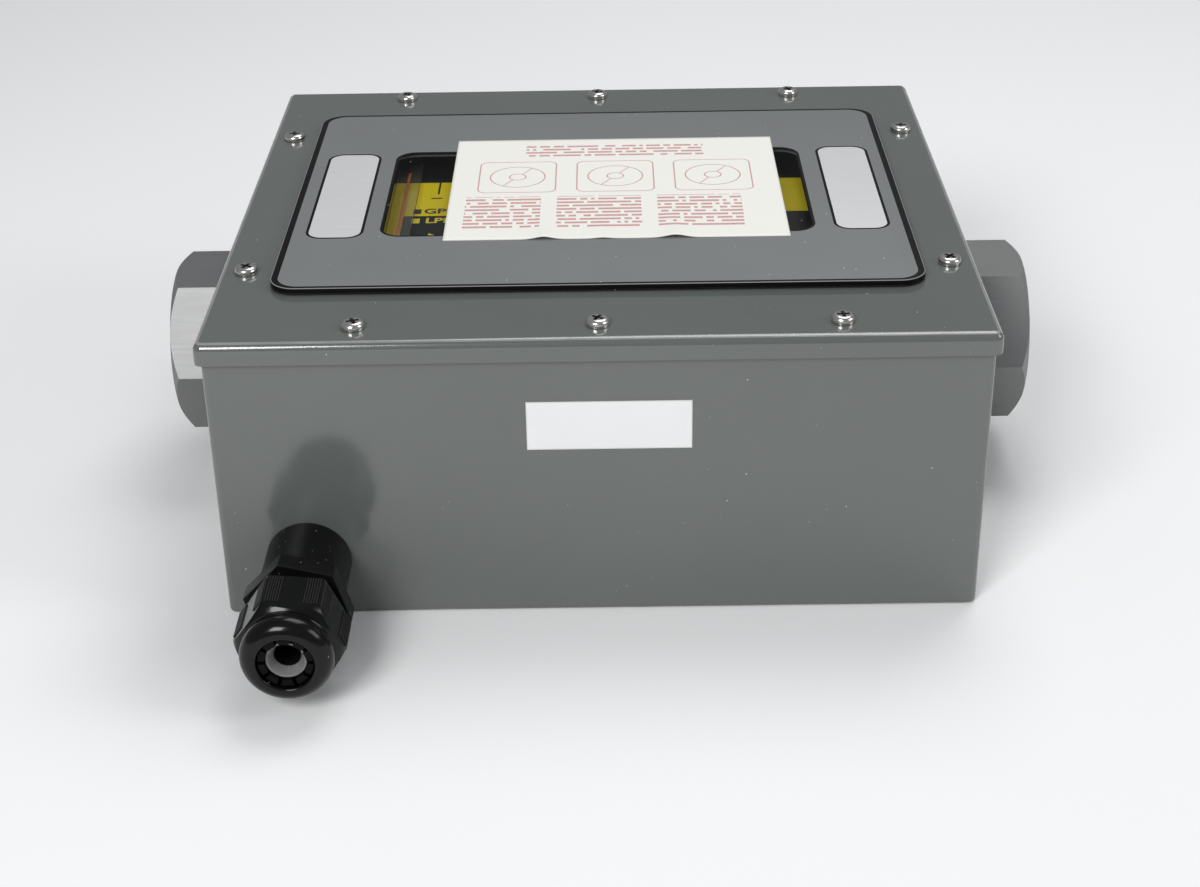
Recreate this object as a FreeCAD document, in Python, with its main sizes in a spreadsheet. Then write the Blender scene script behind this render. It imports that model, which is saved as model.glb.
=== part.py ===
import FreeCAD, Part
import os
import re
from math import atan2, sqrt

import Sketcher
from FreeCAD import Rotation, Vector

# Variable area flow switch in a sheet-metal case, in millimetres.
# X runs along the flow from inlet to outlet, Y away from the cable entry, Z up.
# The origin is the middle of the case's back face, on which the switch lies.

# Driving sizes
SIZES = {
    # case and lid
    "lid_width": 254,
    "lid_depth": 237,
    "case_height": 101,
    "sheet_metal": 1.5,
    "lid_gap": 0.3,
    "lid_lip": 7.5,
    "lid_bend": 3,
    "case_bend": 2.5,
    "corner_return": 3,
    "bend_land": 0.1,
    "flange_width": 17,
    "gasket_thick": 2,
    "gasket_inset": 1,
    # lid screws and their weld nuts
    "row_inset": 11.2,
    "row_pitch": 77.4,
    "side_inset": 9.4,
    "side_pitch": 126.6,
    "screw_head_radius": 3.9,
    "screw_rim": 1.2,
    "screw_dome": 1.3,
    "screw_shank_radius": 1.95,
    "screw_length": 9,
    "screw_gap": 0.3,
    "nut_radius": 4.8,
    "nut_height": 3.5,
    # window panel on the lid
    "panel_width": 216,
    "panel_depth": 165,
    "panel_corner": 9,
    "panel_thick": 1.8,
    "overlay_thick": 0.3,
    "seal_thick": 0.4,
    "window_width": 150,
    "window_depth": 80.6,
    "window_corner": 6.5,
    "cutout_margin": 5,
    "card_width": 119,
    "card_depth": 96,
    "card_thick": 0.4,
    "card_x": 6.5,
    "card_y": 3,
    "label_width": 53,
    "label_height": 17.2,
    "label_thick": 0.2,
    "label_x": 3.2,
    "label_z": 69.9,
    # flow tube and ports
    "axis_height": 46,
    "tube_radius": 28,
    "tube_bore": 23,
    "tube_length": 208,
    "spigot_gap": 0.2,
    "spigot_length": 16,
    "ring_start": 5,
    "ring_section": 1.1,
    "ring_gap": 0.2,
    "neck_radius": 27,
    "hex_standoff": 3.8,
    "hex_flats": 57.15,
    "hex_length": 26,
    "hex_chamfer": 3,
    "port_bore": 19.05,
    "passage_radius": 15,
    "grommet_gap": 0.1,
    "grommet_wall": 3.2,
    "grommet_lip": 2.5,
    # cone, spiders, piston and spring
    "spider_thick": 4,
    "spider_rim": 3.8,
    "hub_radius": 6,
    "spoke_width": 4,
    "stud_radius": 3,
    "stud_gap": 0.1,
    "cone_base": 10.2,
    "cone_straight": 15,
    "cone_tip": 4,
    "cone_land": 14,
    "piston_start": 0.5,
    "piston_length": 28,
    "piston_wall": 2.5,
    "piston_gap": 0.3,
    "orifice_gap": 0.3,
    "orifice_thick": 2.5,
    "magnet_length": 12,
    "magnet_wall": 4.6,
    "magnet_gap": 0.1,
    "spring_radius": 17.8,
    "wire_radius": 0.8,
    "spring_turns": 9,
    # follower outside the tube and its pointer over the scale
    "follower_gap": 0.4,
    "follower_wall": 6.6,
    "follower_length": 28,
    "ring_magnet_wall": 3,
    "ring_magnet_length": 14,
    "guide_y": 46,
    "rod_height": 58,
    "rod_radius": 4,
    "rod_gap": 0.3,
    "rod_end": 3,
    "lug_width": 24,
    "lug_height": 13,
    "mast_width": 9,
    "mast_offset": -1.5,
    "mast_thick": 4,
    "shelf_depth": 6.4,
    "arm_thick": 1,
    "arm_rise": 0.7,
    "arm_front": 36,
    "cam_height": 28,
    "cam_thick": 4,
    "cam_length": 44,
    "cam_ramp": 6,
    "cam_reach": 43.5,
    # frame that carries the tube, rods and scale
    "bracket_thick": 3,
    "bracket_x": 98,
    "bracket_back": 58,
    "bracket_front": 74,
    "foot_width": 16,
    "top_flange": 12,
    "hole_gap": 0.1,
    "foot_pitch": 100,
    "stud_height": 12,
    "bolt_radius": 2.4,
    "bolt_nut": 4.6,
    "bolt_nut_height": 4,
    "clip_wall": 2.5,
    "clip_thick": 1,
    "scale_drop": 6.5,
    "scale_thick": 1,
    "scale_front": 38,
    "scale_back": 53,
    "scale_inset": 6,
    "scale_screw_inset": 10,
    "small_head_radius": 2.6,
    "small_rim": 0.8,
    "small_dome": 0.6,
    "small_shank_radius": 1.2,
    "small_length": 5,
    # set-point carriage, its pointer and the snap switch
    "setpoint_x": 0,
    "rail_y": 62,
    "carriage_length": 54,
    "carriage_depth": 20,
    "carriage_height": 22,
    "pointer_clear": 3.1,
    "pointer_width": 8,
    "pointer_thick": 1.2,
    "pointer_foot": 18,
    "pointer_tip": 10,
    "pointer_rise": 0.8,
    "thumb_clear": 0.1,
    "thumb_radius": 6.5,
    "thumb_height": 8,
    "thumb_lift": 0.5,
    "thumb_shank": 2.4,
    "thumb_gap": 0.3,
    "switch_length": 27.8,
    "switch_depth": 15.9,
    "switch_height": 10.3,
    "switch_y": 52.1,
    "switch_pitch": 22.2,
    "switch_hole_y": 65,
    "blade_width": 4.7,
    "blade_thick": 0.8,
    "blade_length": 6,
    "blade_pitch": 9.5,
    "pivot_x": 11.5,
    "pivot_y": 50.3,
    "pivot_radius": 0.7,
    "pivot_gap": 0.05,
    "eye_wall": 0.75,
    "ear_thick": 1.4,
    "lever_height": 5.2,
    "lever_clear": 0.2,
    "lever_thick": 0.6,
    "lever_offset": 0.9,
    "lever_reach": 26.5,
    "fork_length": 6,
    "fork_thick": 0.8,
    "roller_radius": 2.4,
    "roller_gap": 0.2,
    "cam_clear": 0.4,
    "plunger_x": 4,
    "plunger_radius": 1.2,
    "plunger_gap": 0.1,
    "plunger_depth": 3,
    "plunger_clear": 0.3,
    # terminal strip on the floor
    "strip_x": -30,
    "strip_y": -94,
    "strip_pitch": 11,
    "strip_depth": 20,
    "strip_base": 11,
    "strip_rib": 18,
    "rib_thick": 2,
    # cable gland on the front wall
    "gland_x": -96.6,
    "gland_z": 21.2,
    "hub_outer": 14,
    "hub_bore": 9.5,
    "hub_length": 23.6,
    "hub_thread": 12.5,
    "hub_tail": 10,
    "locknut_radius": 17.5,
    "locknut_thick": 5,
    "washer_thick": 1.5,
    "gland_flats": 30.5,
    "gland_flange": 7.2,
    "gland_turn": 14,
    "gland_bore": 8.8,
    "gland_barrel": 12.5,
    "barrel_length": 15.7,
    "nut_slack": 4,
    "dome_hex": 18.6,
    "dome_length": 8,
    "dome_mouth": 9,
    "dome_rim": 0.8,
    "dome_step": 1.65,
    "nut_chamfer": 5,
    "dome_turn": 5.5,
    "claw_wall": 2.1,
    "claw_flange": 2,
    "claw_slot": 1.2,
    "claw_inset": 1.5,
    "seal_inset": 1.4,
    "seal_lip": 0.6,
    "seal_funnel": 4,
    "cable_radius": 4,
    "seal_wall": 2.4,
    "fit_gap": 0.1,
}

# Sizes worked out from the driving ones
WORKED_OUT = {
    "box_width": "lid_width - 2 * (sheet_metal + lid_gap)",
    "box_depth": "lid_depth - 2 * (sheet_metal + lid_gap)",
    "box_top": "case_height - sheet_metal - gasket_thick",
    "wall_height": "box_top - 2 * sheet_metal",
    "front_y": "-box_depth / 2",
    "row_y": "lid_depth / 2 - row_inset",
    "side_x": "lid_width / 2 - side_inset",
    "screw_hole": "screw_shank_radius + screw_gap",
    "cutout_width": "window_width + 2 * cutout_margin",
    "cutout_depth": "window_depth + 2 * cutout_margin",
    "overlay_bottom": "case_height + seal_thick",
    "panel_bottom": "overlay_bottom + overlay_thick",
    "panel_top": "panel_bottom + panel_thick",
    "tube_end": "tube_length / 2",
    "spigot_radius": "tube_bore - spigot_gap",
    "neck_length": "box_width / 2 - tube_end + hex_standoff",
    "groove_bottom": "tube_bore - 2 * ring_section - 0.75 * ring_gap",
    "groove_width": "2 * ring_section + 4 * ring_gap",
    "port_hole": "neck_radius + grommet_wall",
    "spider_x": "tube_end - spigot_length",
    "cone_end": "spider_x - spider_thick",
    "piston_x": "-cone_end + piston_start",
    "piston_radius": "tube_bore - piston_gap",
    "magnet_x": "piston_x + orifice_thick",
    "spring_x": "magnet_x + magnet_length",
    "follower_x": "piston_x + piston_length / 2",
    "follower_bore": "tube_radius + follower_gap",
    "follower_radius": "follower_bore + follower_wall",
    "rod_rise": "rod_height - axis_height",
    "rod_bore": "rod_radius + rod_gap",
    "mast_back": "scale_back + shelf_depth + arm_rise",
    "scale_height": "case_height - scale_drop",
    "arm_height": "scale_height + arm_rise",
    "plate_bottom": "scale_height - scale_thick",
    "scale_half": "bracket_x",
    "scale_screw_x": "bracket_x - scale_inset",
    "foot_x": "bracket_x + bracket_thick + foot_width / 2",
    "foot_top": "sheet_metal + bracket_thick",
    "carriage_bottom": "rod_height - carriage_height / 2",
    "carriage_top": "rod_height + carriage_height / 2",
    "carriage_front": "rail_y + carriage_depth / 2",
    "pointer_x": "-(switch_length + pointer_width) / 2 - pointer_clear",
    "pointer_height": "arm_height + arm_thick + pointer_rise",
    "switch_top": "carriage_top + switch_height",
    "switch_back": "switch_y + switch_depth",
    "lever_z": "carriage_top + (switch_height - lever_height) / 2",
    "lever_face": "pivot_y - lever_offset",
    "roller_x": "pivot_x - lever_reach",
    "roller_y": "-(cam_reach + cam_clear + roller_radius)",
    "plunger_tip": "lever_face + plunger_clear",
    "thumb_x": "switch_length / 2 + thumb_clear + thumb_radius",
    "thumb_bottom": "carriage_top + thumb_lift",
    "hex_start": "hub_length",
    "barrel_start": "hub_length + gland_flange",
    "barrel_end": "barrel_start + barrel_length",
    "dome_start": "barrel_start + nut_slack",
    "dome_shoulder": "dome_start + dome_hex",
    "dome_end": "dome_shoulder + dome_length",
    "dome_neck": "gland_flats / 2 - dome_step",
    "dome_crown": "dome_mouth + dome_rim",
    "dome_radius": "((dome_neck - dome_crown) ^ 2 + dome_length ^ 2) / (2 * dome_length)",
    "dome_bore": "gland_barrel + screw_gap",
    "seal_radius": "cable_radius + seal_wall",
    "claw_bore": "seal_radius + fit_gap",
    "claw_radius": "claw_bore + claw_wall",
    "claw_end": "dome_end - claw_inset",
}

doc = FreeCAD.newDocument("flow_switch")
sheet = doc.addObject("Spreadsheet::Sheet", "dims")
cells = dict(SIZES)
cells.update((alias, "=" + text) for alias, text in WORKED_OUT.items())
for row, (alias, content) in enumerate(cells.items(), start=1):
    sheet.set(f"A{row}", alias)
    sheet.set(f"B{row}", str(content))
    sheet.setAlias(f"B{row}", alias)
doc.recompute()

TURN_TO = {
    "x": Rotation(Vector(0, 1, 0), 90),
    "y": Rotation(Vector(1, 0, 0), -90),
    "z": Rotation(),
}
SCREW_AT = [(x, y) for y in ("-row_y", "row_y") for x in ("-row_pitch", 0, "row_pitch")]
SCREW_AT += [(x, y) for x in ("-side_x", "side_x") for y in ("-side_pitch / 2", "side_pitch / 2")]
SPIDER_LEGS = 3
LOCKNUT_NOTCHES = 6
CLAW_SLOTS = 10
THUMB_SCALLOPS = 16
STRIP_WAYS = 5
WIRE_SIDES = 6
# Edges are picked by points that lie this close to where they should be
NEAR = 0.01
pieces = []


# Expressions and placement


def formula(text):
    """Give every size in an expression the name of its sheet."""
    return re.sub(r"[a-z_]+", lambda m: f"dims.{m[0]}" if m[0] in cells else m[0], str(text))


def value(text):
    """Work out an expression on the sizes."""
    result = sheet.evalExpression(formula(text))
    return float(getattr(result, "Value", result))


def bind(thing, **expressions):
    """Tie properties of an object to expressions on the sizes."""
    for name, text in expressions.items():
        thing.setExpression(name, formula(text))
    return thing


def put(thing, x=0, y=0, z=0):
    """Tie an object's position to expressions on the sizes."""
    for axis, text in zip("xyz", (x, y, z)):
        thing.setExpression(f"Placement.Base.{axis}", formula(text))
    return thing


def piece(thing, label):
    """Name a finished sub-part and list it for export."""
    thing.Label = label
    pieces.append(thing)
    return thing


# Primitives and booleans


def cylinder(radius, length, x=0, y=0, z=0, along="z"):
    solid = bind(doc.addObject("Part::Cylinder", "cylinder"), Radius=radius, Height=length)
    solid.Placement.Rotation = TURN_TO[along]
    return put(solid, x, y, z)


def block(length, width, height, x=0, y=0, z=0):
    """A box with its low corner at x, y, z."""
    solid = doc.addObject("Part::Box", "block")
    return put(bind(solid, Length=length, Width=width, Height=height), x, y, z)


def boolean(kind, base, tool):
    """A Cut or a Common of two solids."""
    result = doc.addObject(f"Part::{kind}", kind.lower())
    result.Base = base
    result.Tool = tool
    return result


def cut(base, tool):
    return boolean("Cut", base, tool)


def fuse(*solids):
    result = doc.addObject("Part::MultiFuse", "fuse")
    result.Shapes = list(solids)
    return result


def ring(inner, outer, length, x=0, y=0, z=0, along="z"):
    return cut(cylinder(outer, length, x, y, z, along), cylinder(inner, length, x, y, z, along))


def group(label, solids):
    """Identical loose solids that share one sub-part."""
    result = doc.addObject("Part::Compound", "group")
    result.Links = list(solids)
    return piece(result, label)


def screw(size, length, x, y, z):
    """A pan-head screw: size is the prefix of its head and shank sizes, z the face under its head."""
    rim = cylinder(f"{size}_head_radius", f"{size}_rim", x, y, z)
    dome = put(doc.addObject("Part::Cone", "dome"), x, y, f"{z} + {size}_rim")
    bind(dome, Radius1=f"{size}_head_radius", Radius2=f"{size}_head_radius - {size}_dome")
    bind(dome, Height=f"{size}_dome")
    shank = cylinder(f"{size}_shank_radius", length, x, y, f"{z} - ({length})")
    return fuse(rim, dome, shank)


# Bodies, sketches and features


def new_body(label):
    return piece(doc.addObject("PartDesign::Body", label), label)


def sketch(body, role, offset=0):
    """An empty sketch on one of the body's own origin planes, moved along its normal."""
    result = body.newObject("Sketcher::SketchObject", "sketch")
    planes = {feature.Role: feature for feature in body.Origin.OriginFeatures}
    result.AttachmentSupport = (planes[role], [""])
    result.MapMode = "FlatFace"
    result.setExpression("AttachmentOffset.Base.z", formula(offset))
    return result


def pin(target, geometry, point, x, y):
    """Hold a sketch point at x, y, on an axis where a coordinate is plain zero."""
    for kind, text, axis in (("DistanceX", x, -2), ("DistanceY", y, -1)):
        if text == 0:
            target.addConstraint(Sketcher.Constraint("PointOnObject", geometry, point, axis))
            continue
        number = Sketcher.Constraint(kind, -1, 1, geometry, point, value(text))
        index = target.addConstraint(number)
        target.setExpression(f"Constraints[{index}]", formula(text))


def bowed(start, end, radius):
    """An arc from start to end that bows out to the right of the way there."""
    chord = end - start
    inward = Vector(-chord.y, chord.x, 0).normalize()
    centre = (start + end) / 2 + inward * sqrt(radius**2 - (chord.Length / 2) ** 2)
    first, last = (atan2(spot.y - centre.y, spot.x - centre.x) for spot in (start, end))
    return Part.ArcOfCircle(Part.Circle(centre, Vector(0, 0, 1), radius), first, last)


def outline(target, points, bow=None):
    """A closed loop through points given as pairs of expressions. Its edges are straight, but a bow is the
    radius of the last edge: the points then run counterclockwise."""
    first = target.GeometryCount
    spots = [Vector(value(x), value(y), 0) for x, y in points]
    last = first + len(points) - 1
    edges = [Part.LineSegment(*ends) for ends in zip(spots, spots[1:])]
    closing = (spots[-1], spots[0])
    edges.append(bowed(*closing, value(bow)) if bow else Part.LineSegment(*closing))
    target.addGeometry(edges, False)
    for i in range(first, last + 1):
        following = first if i == last else i + 1
        target.addConstraint(Sketcher.Constraint("Coincident", i, 2, following, 1))
    for i, (x, y) in enumerate(points, start=first):
        pin(target, i, 1, x, y)
    if bow:
        index = target.addConstraint(Sketcher.Constraint("Radius", last, value(bow)))
        target.setExpression(f"Constraints[{index}]", formula(bow))
    return target


def rectangle(target, left, right, low, high):
    return outline(target, [(left, low), (right, low), (right, high), (left, high)])


def centred(target, width, depth):
    """A rectangle about the sketch's origin."""
    half_width, half_depth = f"({width}) / 2", f"({depth}) / 2"
    return rectangle(target, f"-{half_width}", half_width, f"-{half_depth}", half_depth)


def circle(target, radius, x=0, y=0):
    spot = Vector(value(x), value(y), 0)
    geometry = target.addGeometry(Part.Circle(spot, Vector(0, 0, 1), value(radius)), False)
    index = target.addConstraint(Sketcher.Constraint("Radius", geometry, value(radius)))
    target.setExpression(f"Constraints[{index}]", formula(radius))
    pin(target, geometry, 3, x, y)
    return target


def hexagon(target, flats):
    """A hexagon about the sketch's origin, with two corners on its horizontal axis."""
    corner, half = f"({flats}) / sqrt(3)", f"({flats}) / 2"
    return outline(
        target,
        [
            (corner, 0),
            (f"{corner} / 2", half),
            (f"-{corner} / 2", half),
            (f"-{corner}", 0),
            (f"-{corner} / 2", f"-{half}"),
            (f"{corner} / 2", f"-{half}"),
        ],
    )


def pad(body, profile, length, back=False):
    feature = body.newObject("PartDesign::Pad", "pad")
    feature.Profile = profile
    feature.Reversed = back
    bind(feature, Length=length)
    doc.recompute()
    return feature


def pocket(body, profile, length, back=False):
    """Cut a profile into the body against its sketch's normal, or along it with back."""
    before = body.Shape.Volume
    feature = body.newObject("PartDesign::Pocket", "pocket")
    feature.Profile = profile
    feature.Reversed = back
    bind(feature, Length=length)
    doc.recompute()
    if body.Shape.Volume >= before:
        raise RuntimeError(f"a pocket in {body.Label} cuts nothing")
    return feature


def turned(body, profile, axis, kind="Revolution"):
    """Turn a profile fully about its sketch's horizontal (H) or vertical (V) axis."""
    feature = body.newObject(f"PartDesign::{kind}", kind.lower())
    feature.Profile = profile
    feature.ReferenceAxis = (profile, [f"{axis}_Axis"])
    feature.Angle = 360
    doc.recompute()
    return feature


def around(body, feature, axis, count):
    """Repeat a feature evenly about its sketch's axis."""
    pattern = body.newObject("PartDesign::PolarPattern", "pattern")
    pattern.Originals = [feature]
    pattern.Axis = (feature.Profile[0], [f"{axis}_Axis"])
    pattern.Angle = 360
    pattern.Occurrences = count
    body.Tip = pattern
    doc.recompute()
    return pattern


def round_edges(body, radius, wanted):
    """Fillet the edges whose middle, start and end points pass a test."""
    doc.recompute()
    names = []
    for i, edge in enumerate(body.Shape.Edges, start=1):
        middle = edge.valueAt((edge.FirstParameter + edge.LastParameter) / 2)
        if wanted(middle, edge.Vertexes[0].Point, edge.Vertexes[-1].Point):
            names.append(f"Edge{i}")
    base = body.Tip
    feature = body.newObject("PartDesign::Fillet", "fillet")
    feature.Base = (base, names)
    bind(feature, Radius=radius)
    doc.recompute()
    return feature


def upright(start, end):
    """True for an edge that runs along Z."""
    return (start - end).Length > 0 and abs((start - end).normalize().z) > 0.99


def round_corners(body, radius, half_width, half_depth):
    """Fillet the upright edges at the corners of a rectangle about the origin."""

    def at_corner(middle, start, end):
        near = abs(abs(middle.x) - value(half_width)) + abs(abs(middle.y) - value(half_depth))
        return near < NEAR and upright(start, end)

    return round_edges(body, radius, at_corner)


# Case, lid and what the lid carries


def make_case_floor():
    body = new_body("case_floor")
    pad(body, centred(sketch(body, "XY_Plane"), "box_width", "box_depth"), "sheet_metal")
    round_corners(body, "case_bend", "box_width / 2", "box_depth / 2")

    def at_bottom(middle, start, end):
        return abs(middle.z) < NEAR

    round_edges(body, "sheet_metal - bend_land", at_bottom)


def make_long_wall(label, side):
    """The front (-1) or rear (1) wall, bent round its two corners as far as the side walls."""
    body = new_body(label)
    half, outside = "box_width / 2", "box_depth / 2"
    plan = sketch(body, "XY_Plane", "sheet_metal")
    edges = [f"{side} * {outside}", f"{side} * ({outside} - corner_return)"]
    rectangle(plan, f"-{half}", half, *edges)
    pad(body, plan, "wall_height")
    inside = sketch(body, "XY_Plane", "sheet_metal + wall_height")
    inner = f"{half} - sheet_metal"
    faces = [f"{side} * ({outside} - sheet_metal)", edges[1]]
    rectangle(inside, f"-({inner})", inner, *faces)
    pocket(body, inside, "wall_height")
    for x, y, radius in ((half, edges[0], "case_bend"), (inner, faces[0], "case_bend - sheet_metal")):

        def at_bend(middle, start, end):
            near = abs(abs(middle.x) - value(x)) + abs(middle.y - value(y))
            return near < NEAR and upright(start, end)

        round_edges(body, radius, at_bend)
    return body


def make_case_walls():
    front = make_long_wall("front_wall", -1)
    gland_hole = sketch(front, "XZ_Plane", "-front_y")
    circle(gland_hole, "hub_thread + fit_gap", "gland_x", "gland_z")
    pocket(front, gland_hole, "sheet_metal")
    make_long_wall("rear_wall", 1)
    sides = []
    for left in ("-box_width / 2", "box_width / 2 - sheet_metal"):
        corner = (left, "corner_return - box_depth / 2", "sheet_metal")
        plate = block("sheet_metal", "box_depth - 2 * corner_return", "wall_height", *corner)
        hole = cylinder("port_hole", "sheet_metal", left, 0, "axis_height", "x")
        sides.append(cut(plate, hole))
    group("side_walls", sides)


def make_case_flange():
    """The rim that the lid is screwed to: one strip folded in from each wall."""
    rim = doc.addObject("PartDesign::Body", "rim")
    level = "box_top - sheet_metal"
    inner_width, inner_depth = "box_width - 2 * flange_width", "box_depth - 2 * flange_width"
    profile = centred(sketch(rim, "XY_Plane", level), "box_width", "box_depth")
    pad(rim, centred(profile, inner_width, inner_depth), "sheet_metal")
    round_corners(rim, "case_bend", "box_width / 2", "box_depth / 2")
    screw_holes = sketch(rim, "XY_Plane", "box_top")
    for x, y in SCREW_AT:
        circle(screw_holes, "screw_hole", x, y)
    pocket(rim, screw_holes, "sheet_metal")
    low_x, low_y = "-box_width / 2", "-box_depth / 2"
    strips = []
    for y in (low_y, "box_depth / 2 - flange_width"):
        part = block("box_width", "flange_width", "sheet_metal", low_x, y, level)
        strips.append(boolean("Common", rim, part))
    for x in (low_x, "box_width / 2 - flange_width"):
        part = block("flange_width", inner_depth, "sheet_metal", x, f"-({inner_depth}) / 2", level)
        strips.append(boolean("Common", rim, part))
    group("case_flange", strips)


def make_lid():
    body = new_body("lid")
    bottom = "case_height - lid_lip"
    pad(body, centred(sketch(body, "XY_Plane", bottom), "lid_width", "lid_depth"), "lid_lip")
    round_corners(body, "lid_bend", "lid_width / 2", "lid_depth / 2")

    def at_top(middle, start, end):
        return abs(middle.z - value("case_height")) < NEAR

    round_edges(body, "lid_bend", at_top)
    inside = sketch(body, "XY_Plane", bottom)
    centred(inside, "lid_width - 2 * sheet_metal", "lid_depth - 2 * sheet_metal")
    pocket(body, inside, "lid_lip - sheet_metal", back=True)
    cutout = centred(sketch(body, "XY_Plane", "case_height"), "cutout_width", "cutout_depth")
    pocket(body, cutout, "sheet_metal")
    round_corners(body, "window_corner + cutout_margin / 2", "cutout_width / 2", "cutout_depth / 2")
    screw_holes = sketch(body, "XY_Plane", "case_height")
    for x, y in SCREW_AT:
        circle(screw_holes, "screw_hole", x, y)
    pocket(body, screw_holes, "sheet_metal")


def make_lid_gasket():
    body = new_body("lid_gasket")
    profile = sketch(body, "XY_Plane", "box_top")
    centred(profile, "box_width - 2 * gasket_inset", "box_depth - 2 * gasket_inset")
    opening = "2 * (flange_width - gasket_inset)"
    centred(profile, f"box_width - {opening}", f"box_depth - {opening}")
    for x, y in SCREW_AT:
        circle(profile, "screw_hole", x, y)
    pad(body, profile, "gasket_thick")


def make_lid_fasteners():
    group("lid_screws", [screw("screw", "screw_length", x, y, "case_height") for x, y in SCREW_AT])
    nut_bottom = "box_top - sheet_metal - nut_height"
    nuts = [ring("screw_hole", "nut_radius", "nut_height", x, y, nut_bottom) for x, y in SCREW_AT]
    group("weld_nuts", nuts)


def rounded_plate(label, width, depth, corner, bottom, thick):
    """A flat plate with rounded corners about the origin."""
    body = new_body(label)
    pad(body, centred(sketch(body, "XY_Plane", bottom), width, depth), thick)
    round_corners(body, corner, f"({width}) / 2", f"({depth}) / 2")
    return body


def open_plate(body, width, depth, corner, top, thick):
    """Cut a rounded opening through a plate."""
    pocket(body, centred(sketch(body, "XY_Plane", top), width, depth), thick)
    round_corners(body, corner, f"({width}) / 2", f"({depth}) / 2")


def make_window():
    panel = ("panel_width", "panel_depth", "panel_corner")
    seal = rounded_plate("window_seal", *panel, "case_height", "seal_thick")
    cutout = ("cutout_width", "cutout_depth", "window_corner + cutout_margin / 2")
    open_plate(seal, *cutout, "overlay_bottom", "seal_thick")
    overlay = rounded_plate("face_overlay", *panel, "overlay_bottom", "overlay_thick")
    window = ("window_width", "window_depth", "window_corner")
    open_plate(overlay, *window, "panel_bottom", "overlay_thick")
    rounded_plate("window_panel", *panel, "panel_bottom", "panel_thick")


def make_labels():
    card_corner = ("card_x - card_width / 2", "card_y - card_depth / 2", "panel_top")
    piece(block("card_width", "card_depth", "card_thick", *card_corner), "blank_card")
    label_corner = ("label_x - label_width / 2", "front_y - label_thick", "label_z - label_height / 2")
    piece(block("label_width", "label_thick", "label_height", *label_corner), "blank_label")


# Flow tube, ports, cone, piston and spring


def make_flow_tube():
    tube = ring("tube_bore", "tube_radius", "tube_length", "-tube_end", 0, "axis_height", "x")
    piece(tube, "flow_tube")


def make_port(label, turn):
    """A threaded end: spigot in the tube, neck through the wall, hexagon outside."""
    body = new_body(label)
    shoulder = "spigot_length"
    hex_at = "spigot_length + neck_length"
    profile = sketch(body, "XZ_Plane")
    outline(
        profile,
        [
            (0, "passage_radius"),
            (0, "spigot_radius"),
            ("ring_start", "spigot_radius"),
            ("ring_start", "groove_bottom"),
            ("ring_start + groove_width", "groove_bottom"),
            ("ring_start + groove_width", "spigot_radius"),
            (shoulder, "spigot_radius"),
            (shoulder, "neck_radius"),
            (hex_at, "neck_radius"),
            (hex_at, "passage_radius"),
        ],
    )
    turned(body, profile, "H")
    hex_profile = circle(sketch(body, "YZ_Plane", hex_at), "port_bore")
    pad(body, hexagon(hex_profile, "hex_flats"), "hex_length")
    chamfer = sketch(body, "XZ_Plane")
    mouth = f"{hex_at} + hex_length"
    flat, corner = "hex_flats / 2", "hex_flats / sqrt(3)"
    outline(chamfer, [(mouth, flat), (mouth, corner), (f"{mouth} - hex_chamfer", corner)])
    turned(body, chamfer, "H", "Groove")
    body.Placement.Rotation = Rotation(Vector(0, 0, 1), turn)
    side = 1 if turn == 0 else -1
    put(body, f"{side} * spider_x", 0, "axis_height")


def make_port_rings():
    rings = []
    for side in (-1, 1):
        torus = doc.addObject("Part::Torus", "torus")
        bind(torus, Radius1="groove_bottom + ring_section + ring_gap / 4", Radius2="ring_section")
        torus.Placement.Rotation = TURN_TO["x"]
        middle = "spider_x + ring_start + groove_width / 2"
        rings.append(put(torus, f"{side} * ({middle})", 0, "axis_height"))
    group("port_o_rings", rings)


def make_grommet(label, turn):
    """A rubber bush in the side wall round the port's neck, with a lip each side of the wall."""
    body = new_body(label)
    bore, groove = "neck_radius + grommet_gap", "port_hole - fit_gap"
    lip = "port_hole + grommet_lip"
    inner, outer = "-(sheet_metal + grommet_lip)", "grommet_lip"
    points = [(inner, bore), (inner, lip), ("-sheet_metal", lip), ("-sheet_metal", groove)]
    points += [(0, groove), (0, lip), (outer, lip), (outer, bore)]
    turned(body, outline(sketch(body, "XZ_Plane"), points), "H")
    body.Placement.Rotation = Rotation(Vector(0, 0, 1), turn)
    side = 1 if turn == 0 else -1
    put(body, f"{side} * box_width / 2", 0, "axis_height")


def make_spider(label, side):
    """A three-legged ring that centres one end of the cone in the tube."""
    body = new_body(label)
    rim = circle(sketch(body, "YZ_Plane"), "spigot_radius")
    pad(body, circle(rim, "spigot_radius - spider_rim"), "spider_thick")
    spoke = sketch(body, "YZ_Plane")
    reach = "spigot_radius - spider_rim / 2"
    rectangle(spoke, "stud_radius + stud_gap", reach, "-spoke_width / 2", "spoke_width / 2")
    around(body, pad(body, spoke, "spider_thick"), "N", SPIDER_LEGS)
    hub = circle(sketch(body, "YZ_Plane"), "hub_radius")
    pad(body, circle(hub, "stud_radius + stud_gap"), "spider_thick")
    put(body, "-spider_x" if side < 0 else "cone_end", 0, "axis_height")


def make_metering_cone():
    body = new_body("metering_cone")
    points = [
        ("-spider_x", 0),
        ("-spider_x", "stud_radius"),
        ("-cone_end", "stud_radius"),
        ("-cone_end", "cone_base"),
        ("-cone_end + cone_straight", "cone_base"),
        ("cone_end - cone_land", "cone_tip"),
        ("cone_end", "cone_tip"),
        ("cone_end", "stud_radius"),
        ("spider_x", "stud_radius"),
        ("spider_x", 0),
    ]
    turned(body, outline(sketch(body, "XZ_Plane"), points), "H")
    put(body, 0, 0, "axis_height")


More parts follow.
